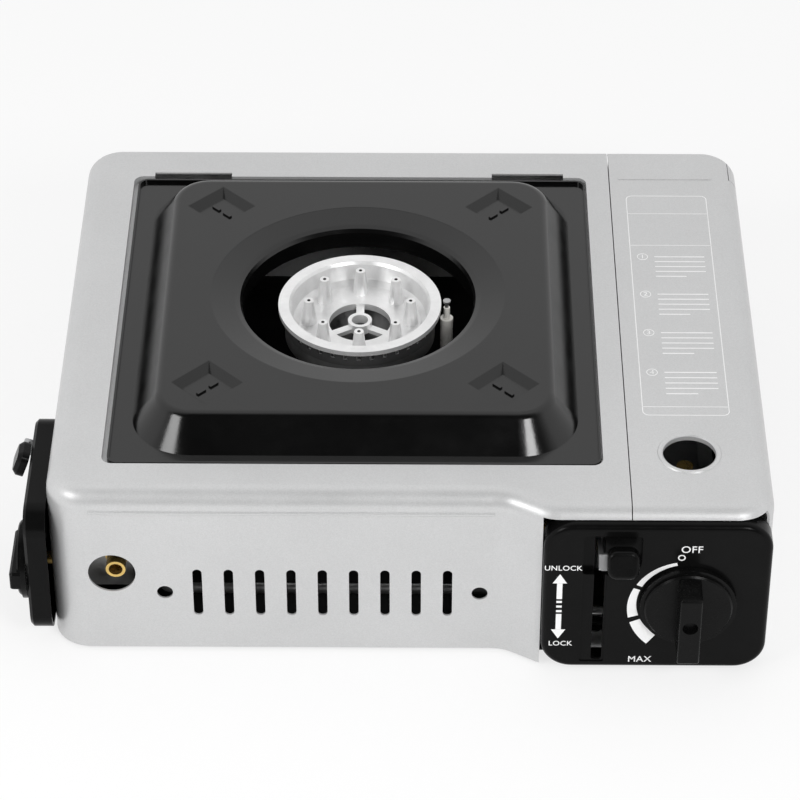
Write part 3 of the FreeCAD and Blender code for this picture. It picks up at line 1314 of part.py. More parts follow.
def make_side_control():
    """The second control on the left wall: hose inlet, valve, knob, and changeover lever."""
    panel = new_body("side_moulding")
    wall = f"(-{HALF_X})"
    pad(panel, "side_block", "YZ", f"-{HALF_X} - side_thick", "side_thick",
        rectangle("side_front", "side_back", "side_low", "side_high", "side_round"))
    outer = value(f"-{HALF_X} - side_thick")
    bevel_edges(panel, "side_bevel", "panel_edge / 2",
                lambda edge: all(abs(point.X - outer) < 1e-5 for point in edge.Vertexes))
    pocket(panel, "side_inside", "YZ", f"-{HALF_X}", "side_thick - panel_wall",
           rectangle("side_front + panel_wall", "side_back - panel_wall", "side_low + panel_wall",
                     "side_high - panel_wall", "side_round - panel_wall"))
    pocket(panel, "side_lever_slot", "YZ", f"-{HALF_X} - side_thick + panel_wall + 1",
           "panel_wall + 2",
           rectangle("side_lever_y - lever_slot_wide / 2", "side_lever_y + lever_slot_wide / 2",
                     "side_slot_low", "side_slot_high", 1.5))
    pocket(panel, "side_stem_opening", "YZ", f"-{HALF_X} - side_thick + panel_wall + 1",
           "panel_wall + 2", circle("side_knob_y", "side_knob_high", "stem_round + stem_hole_gap"))
    finish(panel, "side_panel")

    make_knob("side_grip", "side_knob", "side_knob_round", "(side_knob_round + 1.5)",
              "side_knob_proud", "knob_disc_thick",
              (f"-{HALF_X} - side_thick", "side_knob_y", "side_knob_high"), "-x", bevel_edges)
    stem_end = f"-{HALF_X} - side_thick - knob_disc_thick"
    stem = rod("side_stem_solid", "stem_round", f"hose_x - 6 - ({stem_end})", (0, 0, 0), "x")
    finish(stem, "side_valve_stem", stem_end, "side_knob_y", "side_knob_high")

    left = f"{wall} + gauge + 3"
    body = block("side_valve_block", (left, "hose_x + 9"), ("side_knob_y - 7", "side_knob_y + 10"),
                 ("side_knob_high - 11", "side_knob_high + 14"))
    ear = block("side_valve_ear", (f"{wall} + gauge", f"{left} + 1"),
                ("side_knob_y - 1", "side_knob_y + 18"),
                ("side_knob_high - 16", "side_knob_high + 14"))
    bore = rod("side_valve_bore", "stem_round + running_gap", 100,
               ("hose_x - 106", "side_knob_y", "side_knob_high"), "x")
    inlet_y = "(hose_reach - hose_face)"
    inlet = rod("side_inlet_bore", "hose_thread", "hose_thread_long",
                ("hose_x + 1.6", inlet_y, "hose_height"), "y")
    pipe_bore = rod("side_pipe_bore", "pipe_round", 30,
                    ("hose_x + 8", "jet_y - 9", "side_knob_high"), "x")
    finish(cut("side_valve_cut", fuse("side_valve_solid", body, ear), bore, inlet, pipe_bore),
           "side_valve_body")
    nipple = turned("nipple_turned", [
        ("hose_bore", 0), ("hose_round", 0), ("hose_round", "hose_reach"),
        ("hose_thread", "hose_reach"), ("hose_thread", "hose_reach + hose_thread_long"),
        ("hose_bore", "hose_reach + hose_thread_long"),
    ], along="y")
    finish(nipple, "hose_inlet", "hose_x + 1.6", "-hose_face", "hose_height")

    pivot_x = f"(lever_long * cos(lever_tilt) - {HALF_X} - side_thick - side_stand)"
    arm = make_lever("side_lever", False)
    tilt(arm, -90)
    finish(arm, "side_lever", pivot_x, "side_lever_y", "lever_pivot_high")
    finger = make_pad("side_pad", "side_pad_front", bevel_edges)
    tilt(finger, -90)
    finish(finger, "side_lever_pad", pivot_x, "side_lever_y", "lever_pivot_high")
    carrier = block("side_carrier_plate", (f"{pivot_x} - 8", f"{pivot_x} + 8"),
                    ("side_lever_y + 2.5", "side_lever_y + 3.7"),
                    (BASE_TOP, "lever_pivot_high + 8"))
    toe = block("side_carrier_toe", (f"{pivot_x} - 8", f"{pivot_x} + 8"),
                ("side_lever_y + 2.5", "side_lever_y + 16"), (BASE_TOP, f"{BASE_TOP} + 1.2"))
    bore = rod("side_carrier_bore", "pivot_round", 30,
               (pivot_x, "side_lever_y - 10", "lever_pivot_high"), "y")
    finish(cut("side_carrier_cut", fuse("side_carrier_solid", carrier, toe), bore),
           "side_lever_carrier")
    pin = turned("side_pin_turned", [
        (0, 0), (4, 0), (4, 1.2), ("pivot_round", 1.2), ("pivot_round", 8), (0, 8),
    ], along="y")
    finish(pin, "side_lever_pin", pivot_x, "side_lever_y - 2.4", "lever_pivot_high")


for make in (make_body_shell, make_lid, make_lid_hinges, make_divider, make_cradle,
             make_control_panel, make_control_frame, make_gas_control, make_cartridge_lever,
             make_slider, make_burner_head, make_burner_cup, make_mixing_tube, make_gas_lines,
             make_burner_stand, make_ignition, make_pan_support, make_support_arms,
             make_side_control, make_base):
    make()

doc.recompute()
os.makedirs("parts", exist_ok=True)
for thing in doc.Objects:
    if "Invalid" in thing.State or "Error" in thing.State:
        raise ValueError(f"{thing.Name} failed: {thing.State}")
for node, thing in pieces.items():
    shape = thing.Shape
    if shape.isNull() or not shape.isValid() or not shape.Solids:
        raise ValueError(f"{node} has no valid solid")
    print(node, len(shape.Solids), "solids", round(shape.Volume), "mm3")
for node, thing in pieces.items():
    thing.Shape.exportStep(f"parts/{node}.step")
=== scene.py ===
"""Looks for the cassette stove: enamel, paint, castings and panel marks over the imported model."""
import json
import math

import bmesh
import bpy
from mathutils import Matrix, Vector


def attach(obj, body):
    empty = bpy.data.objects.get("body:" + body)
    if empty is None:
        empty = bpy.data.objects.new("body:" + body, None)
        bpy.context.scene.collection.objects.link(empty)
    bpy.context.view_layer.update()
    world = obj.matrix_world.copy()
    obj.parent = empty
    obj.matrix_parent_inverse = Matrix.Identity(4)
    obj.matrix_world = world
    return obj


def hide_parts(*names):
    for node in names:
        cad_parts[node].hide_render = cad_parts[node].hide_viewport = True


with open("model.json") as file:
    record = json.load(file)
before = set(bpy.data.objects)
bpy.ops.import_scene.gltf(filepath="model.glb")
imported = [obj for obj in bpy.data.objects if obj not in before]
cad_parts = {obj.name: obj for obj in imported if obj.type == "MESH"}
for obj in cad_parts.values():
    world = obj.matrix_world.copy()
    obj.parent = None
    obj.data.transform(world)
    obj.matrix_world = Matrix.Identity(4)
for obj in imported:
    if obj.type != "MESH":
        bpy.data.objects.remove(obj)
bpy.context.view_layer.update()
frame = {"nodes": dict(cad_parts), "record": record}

MM = 0.001
# The stove is measured from the middle of its casing; the frame's origin is the whole footprint's.
CASING_X = 9.5 * MM
CASING_Y = 16.975 * MM

# Places and sizes on the stove, in millimetres about the casing's middle.
BURNER = (-25.1, -2.6)
PIP_COUNT = 8
PIP_CIRCLE = 25.3
PIP_HOLE = 0.85
PIP_TOP = 104.6
PANEL_Y = -160.3
LID_Z = 97.0
LID_BACK = 145.35
LID_ROLL = 9.0


def spot(x, y, z):
    """A place in the frame, from millimetres about the casing's middle."""
    return Vector((x * MM + CASING_X, y * MM + CASING_Y, z * MM))


def add_object(name, data):
    """An object of the scene that holds some data."""
    thing = bpy.data.objects.new(name, data)
    bpy.context.scene.collection.objects.link(thing)
    return thing


# shader groups


class Board:
    """Places nodes in one node tree and links them."""

    def __init__(self, tree):
        self.tree = tree

    def add(self, kind, **settings):
        node = self.tree.nodes.new(kind)
        for name, value in settings.items():
            setattr(node, name, value)
        return node

    def put(self, value, socket):
        """Gives a socket a plain value, or links it to another node's output."""
        if isinstance(value, bpy.types.NodeSocket):
            self.tree.links.new(value, socket)
        else:
            socket.default_value = value

    def feed(self, node, **values):
        for name, value in values.items():
            self.put(value, node.inputs[name.replace("_", " ")])
        return node

    def number(self, operation, *values, **settings):
        """The result of a Math node whose inputs are fed in order."""
        node = self.add("ShaderNodeMath", operation=operation, **settings)
        for value, socket in zip(values, node.inputs):
            self.put(value, socket)
        return node.outputs[0]

    def vector(self, operation, *values, out="Vector"):
        """The result of a Vector Math node whose inputs are fed in order."""
        node = self.add("ShaderNodeVectorMath", operation=operation)
        for value, socket in zip(values, node.inputs):
            self.put(value, socket)
        return node.outputs[out]

    def scaled(self, vector, scale):
        node = self.add("ShaderNodeVectorMath", operation="SCALE")
        self.put(vector, node.inputs[0])
        self.put(scale, node.inputs["Scale"])
        return node.outputs["Vector"]

    def spread(self, value, low, high, to_low=0.0, to_high=1.0, **settings):
        """A value's range from low to high, spread over another range."""
        node = self.add("ShaderNodeMapRange", **settings)
        self.feed(node, Value=value, From_Min=low, From_Max=high, To_Min=to_low, To_Max=to_high)
        return node.outputs["Result"]

    def blend(self, mask, under, over):
        """One colour laid over another as far as a mask says."""
        node = self.add("ShaderNodeMix", data_type="RGBA")
        self.feed(node, Factor=mask)
        self.put(under, node.inputs[6])
        self.put(over, node.inputs[7])
        return node.outputs[2]

    def place(self):
        return self.add("ShaderNodeTexCoord").outputs["Object"]

    def noise(self, place, scale, detail, roughness):
        node = self.add("ShaderNodeTexNoise")
        self.feed(node, Vector=place, Scale=scale, Detail=detail, Roughness=roughness)
        return node.outputs["Fac"]

    def group(self, tree, **values):
        return self.feed(self.add("ShaderNodeGroup", node_tree=tree), **values).outputs[0]


SOCKET_KINDS = {"float": "NodeSocketFloat", "colour": "NodeSocketColor",
                "vector": "NodeSocketVector"}
STRETCH_SOCKET = ("Stretch", "vector", (1.0, 1.0, 1.0))


def new_group(name, inputs, output, kind):
    """An empty shader group with named inputs and one output: its board, its inputs, its end."""
    tree = bpy.data.node_groups.new(name, "ShaderNodeTree")
    for label, sort, default in inputs:
        socket = tree.interface.new_socket(name=label, in_out="INPUT",
                                           socket_type=SOCKET_KINDS[sort])
        socket.default_value = default
    tree.interface.new_socket(name=output, in_out="OUTPUT", socket_type=SOCKET_KINDS[kind])
    board = Board(tree)
    source = board.add("NodeGroupInput")
    sink = board.add("NodeGroupOutput")
    return board, source.outputs, sink.inputs[output]


def worn_edge_group():
    """A mask along outer edges, broken up by noise, for paint and plating that rub off and for a
    painted highlight along the edges.
    """
    board, source, end = new_group(
        "lit_and_worn_edge",
        [("Width", "float", 0.001), ("Breakup", "float", 400.0), ("Amount", "float", 0.5)],
        "Mask", "float")
    soft = board.feed(board.add("ShaderNodeBevel", samples=4), Radius=source["Width"])
    face = board.add("ShaderNodeNewGeometry")
    turned = board.vector("DOT_PRODUCT", soft.outputs["Normal"], face.outputs["Normal"],
                          out="Value")
    edge = board.spread(turned, 0.985, 0.8)
    patches = board.spread(board.noise(board.place(), source["Breakup"], 6.0, 0.7), 0.42, 0.62)
    rubbed_and_lit_mask = board.number("MULTIPLY", edge, patches)
    board.put(board.number("MULTIPLY", rubbed_and_lit_mask, source["Amount"], use_clamp=True), end)
    return board.tree


def cloudy_group():
    """Slow and fine unevenness between two values, as handling and casting leave it."""
    board, source, end = new_group(
        "cloudy",
        [("Scale", "float", 30.0), ("Low", "float", 0.3), ("High", "float", 0.5), STRETCH_SOCKET],
        "Value", "float")
    pulled = board.vector("MULTIPLY", board.place(), source["Stretch"])
    noise = board.noise(pulled, source["Scale"], 5.0, 0.6)
    board.put(board.spread(noise, 0.3, 0.7, source["Low"], source["High"]), end)
    return board.tree


def grain_group():
    """Fine height for a bump: noise and small pits, in one scale."""
    board, source, end = new_group(
        "fine_grain",
        [("Scale", "float", 900.0), ("Pits", "float", 0.3), STRETCH_SOCKET],
        "Height", "float")
    pulled = board.vector("MULTIPLY", board.place(), source["Stretch"])
    noise = board.noise(pulled, source["Scale"], 4.0, 0.55)
    cells = board.feed(board.add("ShaderNodeTexVoronoi"), Vector=pulled, Scale=source["Scale"])
    sunk = board.number("MULTIPLY", cells.outputs["Distance"], source["Pits"])
    board.put(board.number("ADD", noise, sunk), end)
    return board.tree


def flake_group():
    """Tiny cells that tilt the colour of a metallic paint a little lighter or darker."""
    board, source, end = new_group(
        "paint_flake",
        [("Base", "colour", (0.6, 0.6, 0.6, 1.0)), ("Scale", "float", 2500.0),
         ("Spread", "float", 0.08)],
        "Colour", "colour")
    cells = board.feed(board.add("ShaderNodeTexVoronoi"), Vector=board.place(),
                       Scale=source["Scale"])
    parts = board.add("ShaderNodeSeparateColor")
    board.put(cells.outputs["Color"], parts.inputs[0])
    centred = board.number("SUBTRACT", parts.outputs[0], 0.5)
    tilt = board.number("MULTIPLY_ADD", centred, source["Spread"], 1.0)
    board.put(board.scaled(source["Base"], tilt), end)
    return board.tree


def scorched_group():
    """A mask for the burner's outer wall below its ring, for painted shade under the ring's
    overhang.
    """
    board, source, end = new_group(
        "painted_under_ring_shade", [("Height", "float", 0.1004), ("Radius", "float", 0.0372)],
        "Mask", "float")
    place = board.place()
    parts = board.add("ShaderNodeSeparateXYZ")
    board.put(place, parts.inputs[0])
    about = board.vector("SUBTRACT", place, spot(*BURNER, 0))
    flat = board.vector("MULTIPLY", about, (1, 1, 0))
    reach = board.vector("LENGTH", flat, out="Value")
    outside = board.number("GREATER_THAN", reach, source["Radius"])
    below = board.number("LESS_THAN", parts.outputs["Z"], source["Height"])
    board.put(board.number("MULTIPLY", outside, below), end)
    return board.tree


LIT_AND_WORN_EDGE = worn_edge_group()
CLOUDY = cloudy_group()
GRAIN = grain_group()
FLAKE = flake_group()
UNDER_RING_SHADE = scorched_group()


# finishes

FINISHES = {}


def grey(level, warm=0.0):
    return (level * (1 + warm), level, level * (1 - warm), 1.0)


def finish_of(name, base, metallic, rough, edge=None, grain=(900.0, 0.2, 0.00002), cloud=30.0,
              shade=0.08, coat=0.0, coat_rough=0.1, specular=0.5, flake=0.0, under_ring_shade=None):
    """A surface whose colour, roughness, relief and edges all vary over it; its edges are lighter
    with rubbed wear and a painted highlight.

    rough is a low and a high roughness, edge a lighter colour for rubbed wear and painted
    highlight, its width and its amount, and grain a scale, how pitted it is, and its height.
    """
    material = bpy.data.materials.new(name)
    material.use_nodes = True
    board = Board(material.node_tree)
    board.tree.nodes.clear()
    out = board.add("ShaderNodeOutputMaterial")
    skin = board.add("ShaderNodeBsdfPrincipled")
    board.feed(out, Surface=skin.outputs[0])
    uneven = board.group(CLOUDY, Scale=cloud, Low=1 - shade, High=1 + shade)
    paint = board.group(FLAKE, Base=base, Spread=flake) if flake else base[:3]
    colour = board.scaled(paint, uneven)
    if edge:
        # lighter edges: rubbed wear together with a painted highlight along them
        edge_colour_rubbed_and_lit, width, amount = edge
        colour = board.blend(board.group(LIT_AND_WORN_EDGE, Width=width, Amount=amount), colour, edge_colour_rubbed_and_lit)
    # painted shade: the burner's outer wall below its ring is darkened, as under the ring's
    # overhang
    if under_ring_shade:
        colour = board.blend(board.group(UNDER_RING_SHADE), colour, under_ring_shade)
    roughness = board.group(CLOUDY, Scale=cloud * 3.1, Low=rough[0], High=rough[1])
    scale, pits, height = grain
    bump = board.add("ShaderNodeBump")
    board.feed(bump, Height=board.group(GRAIN, Scale=scale, Pits=pits), Distance=height,
               Strength=1.0)
    board.feed(skin, Base_Color=colour, Roughness=roughness, Metallic=metallic, Coat_Weight=coat,
               Coat_Roughness=coat_rough, Specular_IOR_Level=specular,
               Normal=bump.outputs["Normal"])
    FINISHES[name] = material


# the silver paint's lighter grey(0.7) edges are partly wear and partly a painted highlight
finish_of("silver_paint", grey(0.57, -0.004), 0.35, (0.34, 0.44), (grey(0.7), 0.0008, 0.25),
          grain=(1400.0, 0.3, 0.00002), cloud=14.0, shade=0.025, coat=0.15, coat_rough=0.25,
          flake=0.10)
finish_of("black_enamel", grey(0.003), 0.0, (0.12, 0.19), (grey(0.02), 0.0009, 0.3),
          grain=(1100.0, 0.4, 0.000012), cloud=22.0, shade=0.25)
# base_black: the base plate near black, painted shade for the dark inside seen through the front
# wall's slots
finish_of("base_black", grey(0.012), 0.0, (0.45, 0.6), (grey(0.06), 0.0006, 0.3),
          grain=(900.0, 0.4, 0.00002), cloud=40.0, shade=0.2, specular=0.2)
finish_of("gloss_black", grey(0.004), 0.0, (0.16, 0.26), (grey(0.02), 0.0006, 0.3),
          grain=(1600.0, 0.1, 0.000008), cloud=40.0, shade=0.2, specular=0.08)
finish_of("knob_black", grey(0.004), 0.0, (0.20, 0.32), (grey(0.03), 0.0006, 0.4),
          grain=(2200.0, 0.4, 0.000015), cloud=60.0, shade=0.2, specular=0.10)
finish_of("zinc_steel", grey(0.40, -0.01), 0.9, (0.30, 0.46), (grey(0.6), 0.0005, 0.5),
          grain=(700.0, 0.2, 0.00002), cloud=60.0, shade=0.12)
# burner_alloy's outer wall below the ring is darkened to grey(0.10): painted shade
finish_of("burner_alloy", grey(0.80), 0.55, (0.28, 0.42), (grey(0.85), 0.0006, 0.6),
          grain=(1300.0, 0.5, 0.00004), cloud=90.0, shade=0.08, under_ring_shade=grey(0.10))
finish_of("burner_alloy_dark", grey(0.16), 0.6, (0.40, 0.58), (grey(0.4), 0.0006, 0.5),
          grain=(900.0, 0.6, 0.00005), cloud=60.0, shade=0.2)
finish_of("cast_alloy", grey(0.50), 0.85, (0.42, 0.58), (grey(0.7), 0.0006, 0.5),
          grain=(800.0, 0.7, 0.00006), cloud=80.0, shade=0.12)
finish_of("pipe_alloy", grey(0.62), 0.9, (0.26, 0.40),
          grain=(1500.0, 0.2, 0.00001), cloud=70.0, shade=0.10)
finish_of("brass_part", (0.72, 0.50, 0.17, 1.0), 0.95, (0.22, 0.36),
          ((0.85, 0.66, 0.3, 1.0), 0.0004, 0.5),
          grain=(1200.0, 0.2, 0.00001), cloud=110.0, shade=0.15)
finish_of("black_rubber", grey(0.02), 0.0, (0.62, 0.78),
          grain=(1800.0, 0.5, 0.00004), cloud=70.0, shade=0.2)
finish_of("lead_sleeve", grey(0.03), 0.0, (0.45, 0.6),
          grain=(1800.0, 0.3, 0.00003), cloud=90.0, shade=0.2)
finish_of("igniter_plastic", grey(0.02), 0.0, (0.4, 0.55),
          grain=(1800.0, 0.4, 0.00003), cloud=90.0, shade=0.2)
finish_of("white_ceramic", (0.95, 0.93, 0.88, 1.0), 0.0, (0.22, 0.36),
          grain=(1500.0, 0.3, 0.00002), cloud=120.0, shade=0.10, coat=0.4)
finish_of("white_print", grey(0.86), 0.0, (0.36, 0.5),
          grain=(2500.0, 0.3, 0.000004), cloud=160.0, shade=0.04)
finish_of("label_print", grey(0.86), 0.0, (0.40, 0.55),
          grain=(2500.0, 0.3, 0.000004), cloud=160.0, shade=0.05)
# painted shade: a near-black finish for discs that stand in for the pips' holes
finish_of("painted_hole_shade", grey(0.01), 0.0, (0.6, 0.8),
          grain=(1500.0, 0.3, 0.00001), cloud=200.0, shade=0.2, specular=0.1)

for entry in frame["record"]["subparts"]:
    for held in frame["nodes"][entry["node"]].material_slots:
        held.material = FINISHES[entry["material_slot"]]


# the lid's pressed skin

ROLL_AXIS = spot(0, LID_BACK - LID_ROLL, LID_Z - LID_ROLL)
ROLL_SLACK = 0.05


def trimmed_lid():
    """The lid with its hinge ears dressed flush with the rolled back edge."""
    lid = add_object("lid_skin", frame["nodes"]["cartridge_lid"].data.copy())
    for vertex in lid.data.vertices:
        out = vertex.co - ROLL_AXIS
        reach = math.hypot(out.y, out.z)
        if out.y > 0 and out.z > 0 and reach > (LID_ROLL + ROLL_SLACK) * MM:
            shrink = LID_ROLL * MM / reach
            vertex.co.y = ROLL_AXIS.y + out.y * shrink
            vertex.co.z = ROLL_AXIS.z + out.z * shrink
    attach(lid, "lid")
    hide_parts("cartridge_lid")


trimmed_lid()


# printed marks

PRINT_THICK = 0.06
PRINT_SUNK = 0.02
CAPITAL_SHARE = 0.70
LETTER_GROWTH = 0.03


def on_panel(u, v, lift):
    return spot(u, PANEL_Y - lift, v)


def on_lid(u, v, lift):
    return spot(u, v, LID_Z + lift)


def on_pips(u, v, lift):
    return spot(BURNER[0] + u, BURNER[1] + v, PIP_TOP + lift)


def print_mark(mesh, outline, surface, rise):
    """A thin solid of ink or sheet over a flat outline of millimetre points."""
    low = [mesh.verts.new(surface(u, v, -PRINT_SUNK)) for u, v in outline]
    high = [mesh.verts.new(surface(u, v, rise)) for u, v in outline]
    order = list(range(len(outline)))
    faces = [[high[i] for i in order], [low[i] for i in reversed(order)]]
    faces += [[low[i], low[(i + 1) % len(order)], high[(i + 1) % len(order)], high[i]]
              for i in order]
    for corners in faces:
        mesh.faces.new(corners)


def bar(start, end, width):
    """The outline of a straight stroke."""
    a, b = Vector(start), Vector(end)
    across = (b - a).normalized().orthogonal() * (width / 2)
    return [tuple(a + across), tuple(b + across), tuple(b - across), tuple(a - across)]


def disc(centre, radius, steps):
    """The outline of a filled circle."""
    return [(centre[0] + radius * math.cos(turn), centre[1] + radius * math.sin(turn))
            for turn in (math.tau * step / steps for step in range(steps))]


def arc_band(centre, inner, outer, start, end, steps):
    """A curved stroke whose outer edge may swell from one end to the other."""
    swell = outer if isinstance(outer, tuple) else (outer, outer)
    near, far = [], []
    for step in range(steps + 1):
        part = step / steps
        angle = math.radians(start + (end - start) * part)
        way = (math.cos(angle), math.sin(angle))
        size = swell[0] + (swell[1] - swell[0]) * part
        near.append((centre[0] + inner * way[0], centre[1] + inner * way[1]))
        far.append((centre[0] + size * way[0], centre[1] + size * way[1]))
    return near + far[::-1]


def ring_marks(centre, radius, width, steps):
    """A thin printed circle, in two halves."""
    return [arc_band(centre, radius - width / 2, radius + width / 2, start, start + 180, steps)
            for start in (0, 180)]


def round_frame(left, right, low, high, corner, width):
    """A printed frame with round corners, as its four sides and four corners."""
    west, east, south, north = left + corner, right - corner, low + corner, high - corner
    marks = [
        bar((west, low), (east, low), width),
        bar((west, high), (east, high), width),
        bar((left, south), (left, north), width),
        bar((right, south), (right, north), width),
    ]
    for middle, start in (((west, south), 180), ((east, south), 270), ((east, north), 0),
                          ((west, north), 90)):
        marks.append(arc_band(middle, corner - width / 2, corner + width / 2, start, start + 90,
                              8))
    return marks


def add_piece(name, data, ink, body):
    """A made mesh as a visible piece that rides a body."""
    data.materials.clear()
    data.materials.append(FINISHES[ink])
    piece = add_object(name, data)
    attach(piece, body)


def printed(name, outlines, surface, body, ink, rise=PRINT_THICK):
    """Flat outlines as thin solids in one piece."""
    mesh = bmesh.new()
    for outline in outlines:
        print_mark(mesh, outline, surface, rise)
    bmesh.ops.recalc_face_normals(mesh, faces=mesh.faces)
    data = bpy.data.meshes.new(name)
    mesh.to_mesh(data)
    mesh.free()
    add_piece(name, data, ink, body)


def lettering(name, word, centre, height, surface, body, ink):
    """Plain capitals as a thin solid, centred on a place of the surface."""
    curve = bpy.data.curves.new(name, "FONT")
    curve.body = word
    curve.align_x = "CENTER"
    curve.align_y = "CENTER"
    curve.size = height / CAPITAL_SHARE
    curve.extrude = PRINT_THICK / 2
    curve.offset = LETTER_GROWTH
    curve.space_character = 1.05
    words = bpy.data.objects.new(name + "_text", curve)
    data = bpy.data.meshes.new_from_object(words)
    bpy.data.objects.remove(words)
    for vertex in data.vertices:
        flat = vertex.co.copy()
        vertex.co = surface(centre[0] + flat.x, centre[1] + flat.y,
                            flat.z + PRINT_THICK / 2 - PRINT_SUNK)
    add_piece(name, data, ink, body)


# the panel's flame scale, lock arrow and words

KNOB = (131.65, 44.8)
SCALE_INNER = 24.3
# Each stroke's outer radius at both ends, its two angles and its steps.
SCALE_STROKES = (
    ((26.0, 27.2), 104, 155, 18),
    ((27.5, 29.3), 160, 198, 16),
    ((29.6, 31.6), 204, 234, 14),
)
OFF_RING = (127.4, 73.2)
scale_marks = [arc_band(KNOB, SCALE_INNER, *stroke) for stroke in SCALE_STROKES]
scale_marks += ring_marks(OFF_RING, 1.5, 0.6, 14)
printed("flame_scale", scale_marks, on_panel, "casing", "white_print")

ARROW_X = 71.0
HEAD_HALF = 3.4
STEM_WIDE = 2.6
DASH_HIGH = 1.3
DASH_HEIGHTS = (45.4, 42.5, 39.6)
arrow = [
    [(ARROW_X - HEAD_HALF, 57.0), (ARROW_X + HEAD_HALF, 57.0), (ARROW_X, 62.7)],
    [(ARROW_X - HEAD_HALF, 28.0), (ARROW_X, 22.3), (ARROW_X + HEAD_HALF, 28.0)],
    bar((ARROW_X, 56.9), (ARROW_X, 47.2), STEM_WIDE),
    bar((ARROW_X, 37.8), (ARROW_X, 28.1), STEM_WIDE),
]
arrow += [bar((ARROW_X - STEM_WIDE / 2, z), (ARROW_X + STEM_WIDE / 2, z), DASH_HIGH)
          for z in DASH_HEIGHTS]
printed("lever_arrow", arrow, on_panel, "casing", "white_print")

PANEL_WORDS = (
    ("mark_off", "OFF", (132.0, 78.0), 4.0),
    ("mark_max", "MAX", (110.3, 9.1), 3.6),
    ("mark_unlock", "UNLOCK", (72.4, 66.3), 2.9),
    ("mark_lock", "LOCK", (72.2, 19.0), 2.9),
)
for name, word, place, height in PANEL_WORDS:
    lettering(name, word, place, height, on_panel, "casing", "white_print")


# the lid's label and bead

LABEL_LEFT, LABEL_RIGHT = 112.0, 153.5
LABEL_FRONT, LABEL_BACK = -83.5, 100.0
LABEL_RULES = (84.0, 56.0, -77.0)
LABEL_ROWS = (46.0, 14.0, -18.0, -50.0)
NUMBER_X = LABEL_LEFT + 6.0
TEXT_X = LABEL_LEFT + 12.0
ROW_LINES = 5
LINE_PITCH = 4.2
LINE_MARGIN, LAST_MARGIN = 4.0, 14.0
label = round_frame(LABEL_LEFT, LABEL_RIGHT, LABEL_FRONT, LABEL_BACK, 3.0, 0.45)
label += [bar((LABEL_LEFT, y), (LABEL_RIGHT, y), 0.35) for y in LABEL_RULES]
for number, row in enumerate(LABEL_ROWS, 1):
    label += ring_marks((NUMBER_X, row), 2.6, 0.4, 12)
    for line in range(ROW_LINES):
        end = LABEL_RIGHT - (LINE_MARGIN if line < ROW_LINES - 1 else LAST_MARGIN)
        height = row - line * LINE_PITCH
        label.append(bar((TEXT_X, height), (end, height), 0.7))
    lettering(f"label_number_{number}", str(number), (NUMBER_X, row), 3.0, on_lid, "lid",
              "label_print")
printed("lid_label_frame", label, on_lid, "lid", "label_print")

BEAD_Y = 115.8
BEAD_LEFT, BEAD_RIGHT = 108.5, 157.4
BEAD_WIDE, BEAD_RISE = 1.6, 0.35
bead = bar((BEAD_LEFT, BEAD_Y), (BEAD_RIGHT, BEAD_Y), BEAD_WIDE)
printed("lid_bead", [bead], on_lid, "lid", "silver_paint", rise=BEAD_RISE)


# painted shade: dark discs on the burner's pips, standing in for their holes

pip_hole_shade = []
for number in range(PIP_COUNT):
    angle = math.radians(90 + 360 / PIP_COUNT * number)
    middle = (PIP_CIRCLE * math.cos(angle), PIP_CIRCLE * math.sin(angle))
    pip_hole_shade.append(disc(middle, PIP_HOLE, 14))
printed("pip_hole_shade", pip_hole_shade, on_pips, "casing", "painted_hole_shade")


# floor, lights and camera

FLOOR_REACH = 12.0
FLOOR_WHITE = 0.72
ROOM_LIGHT = 0.67
DARK_WALL = Vector((0.0, -0.79, 0.61))
# Each lamp's name, place, target, size in metres and power in watts.
LAMPS = (
    ("window_left", (-0.95, -0.85, 1.0), (-0.05, 0, 0.1), (0.55, 0.5), 7.5),
    ("window_right", (0.62, -1.12, 1.0), (0.0, 0, 0.1), (0.40, 0.4), 7),
)
PHOTO_FOCAL = 3413.65
PHOTO_WIDE = 800
SENSOR_WIDE = 36
CAMERA_AT = (0.0141, -1.347725, 1.1161)
CAMERA_TO = (0.0049, -0.055695, 0.097)


def seen_directly(board):
    """One where a camera, glossy or transmission ray looks, and zero for the light itself."""
    rays = board.add("ShaderNodeLightPath")
    total = rays.outputs["Is Camera Ray"]
    for kind in ("Is Glossy Ray", "Is Transmission Ray"):
        total = board.number("ADD", total, rays.outputs[kind], use_clamp=True)
    return total


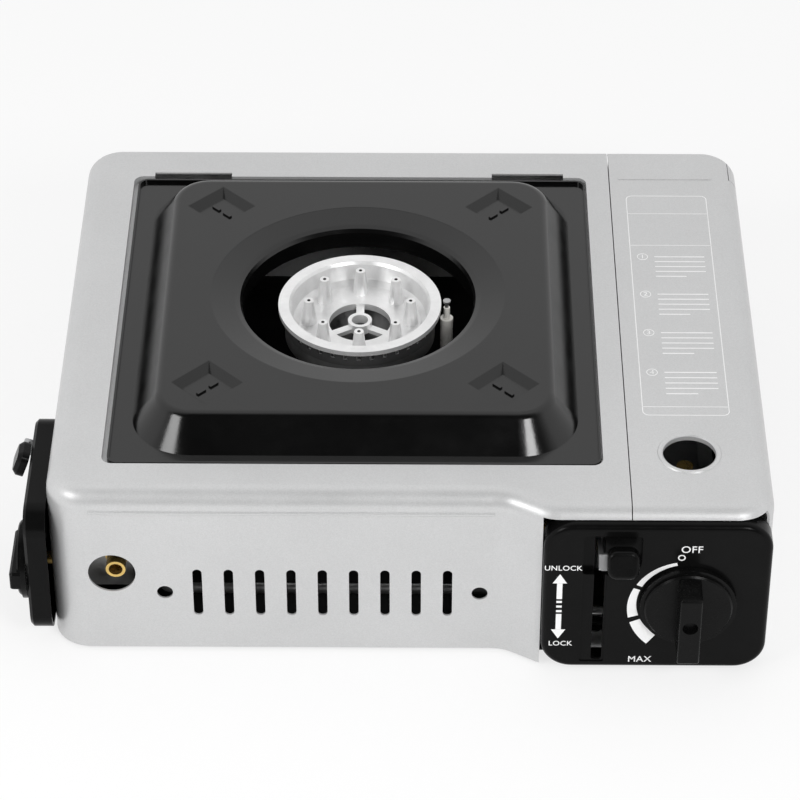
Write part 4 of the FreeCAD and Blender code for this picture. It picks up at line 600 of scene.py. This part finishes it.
def stage_floor(white_share):
    """White paper that keeps the stove's soft shadow, paler to the eye than to the light."""
    data = bpy.data.meshes.new("floor")
    corners = [(x * FLOOR_REACH, y * FLOOR_REACH, 0)
               for x, y in ((-1, -1), (1, -1), (1, 1), (-1, 1))]
    data.from_pydata(corners, [], [(0, 1, 2, 3)])
    floor = add_object("floor", data)
    material = bpy.data.materials.new("floor_paper")
    material.use_nodes = True
    board = Board(material.node_tree)
    skin = board.tree.nodes["Principled BSDF"]
    board.feed(skin, Base_Color=grey(0.93), Roughness=0.9, Specular_IOR_Level=0.0)
    white = board.add("ShaderNodeEmission")
    board.feed(white, Color=(1, 1, 1, 1), Strength=1.0)
    mix = board.add("ShaderNodeMixShader")
    board.feed(mix, Fac=board.number("MULTIPLY", seen_directly(board), white_share))
    board.put(skin.outputs[0], mix.inputs[1])
    board.put(white.outputs[0], mix.inputs[2])
    board.feed(board.tree.nodes["Material Output"], Surface=mix.outputs[0])
    data.materials.append(material)


def aim(thing, place, target):
    """Stands a lamp or camera at a place and turns it to a target."""
    thing.location = place
    thing.rotation_mode = "QUATERNION"
    thing.rotation_quaternion = (Vector(target) - Vector(place)).to_track_quat("-Z", "Y")


def soft_light(name, place, target, size, power):
    """A rectangular window of light."""
    lamp = bpy.data.lights.new(name, "AREA")
    lamp.shape = "RECTANGLE"
    lamp.size, lamp.size_y = size
    lamp.energy = power
    aim(add_object(name, lamp), place, target)


def studio_world(level):
    """A white room with a dark wall behind the photographer, which only gloss shows."""
    world = bpy.data.worlds.new("studio")
    bpy.context.scene.world = world
    world.use_nodes = True
    board = Board(world.node_tree)
    way = board.add("ShaderNodeTexCoord").outputs["Generated"]
    toward = board.vector("DOT_PRODUCT", way, DARK_WALL, out="Value")
    room = board.spread(toward, 0.35, 0.80, 1.0, 0.02, interpolation_type="SMOOTHSTEP")
    rays = board.add("ShaderNodeLightPath")
    mirrored = board.feed(board.add("ShaderNodeMix"), Factor=rays.outputs["Is Glossy Ray"],
                          A=1.0, B=room)
    strength = board.feed(board.add("ShaderNodeMix"), Factor=seen_directly(board), A=level,
                          B=mirrored.outputs["Result"])
    board.feed(board.tree.nodes["Background"], Color=(1, 1, 1, 1),
               Strength=strength.outputs["Result"])


def photo_camera():
    """The photo's own standpoint and lens, seen in plain colours."""
    lens = bpy.data.cameras.new("photo_view")
    lens.lens = PHOTO_FOCAL / PHOTO_WIDE * SENSOR_WIDE
    lens.sensor_width = SENSOR_WIDE
    camera = add_object("photo_view", lens)
    aim(camera, CAMERA_AT, CAMERA_TO)
    bpy.context.scene.camera = camera
    bpy.context.scene.view_settings.view_transform = "Standard"


stage_floor(FLOOR_WHITE)
studio_world(ROOM_LIGHT)
for lamp in LAMPS:
    soft_light(*lamp)
photo_camera()

bpy.context.view_layer.update()
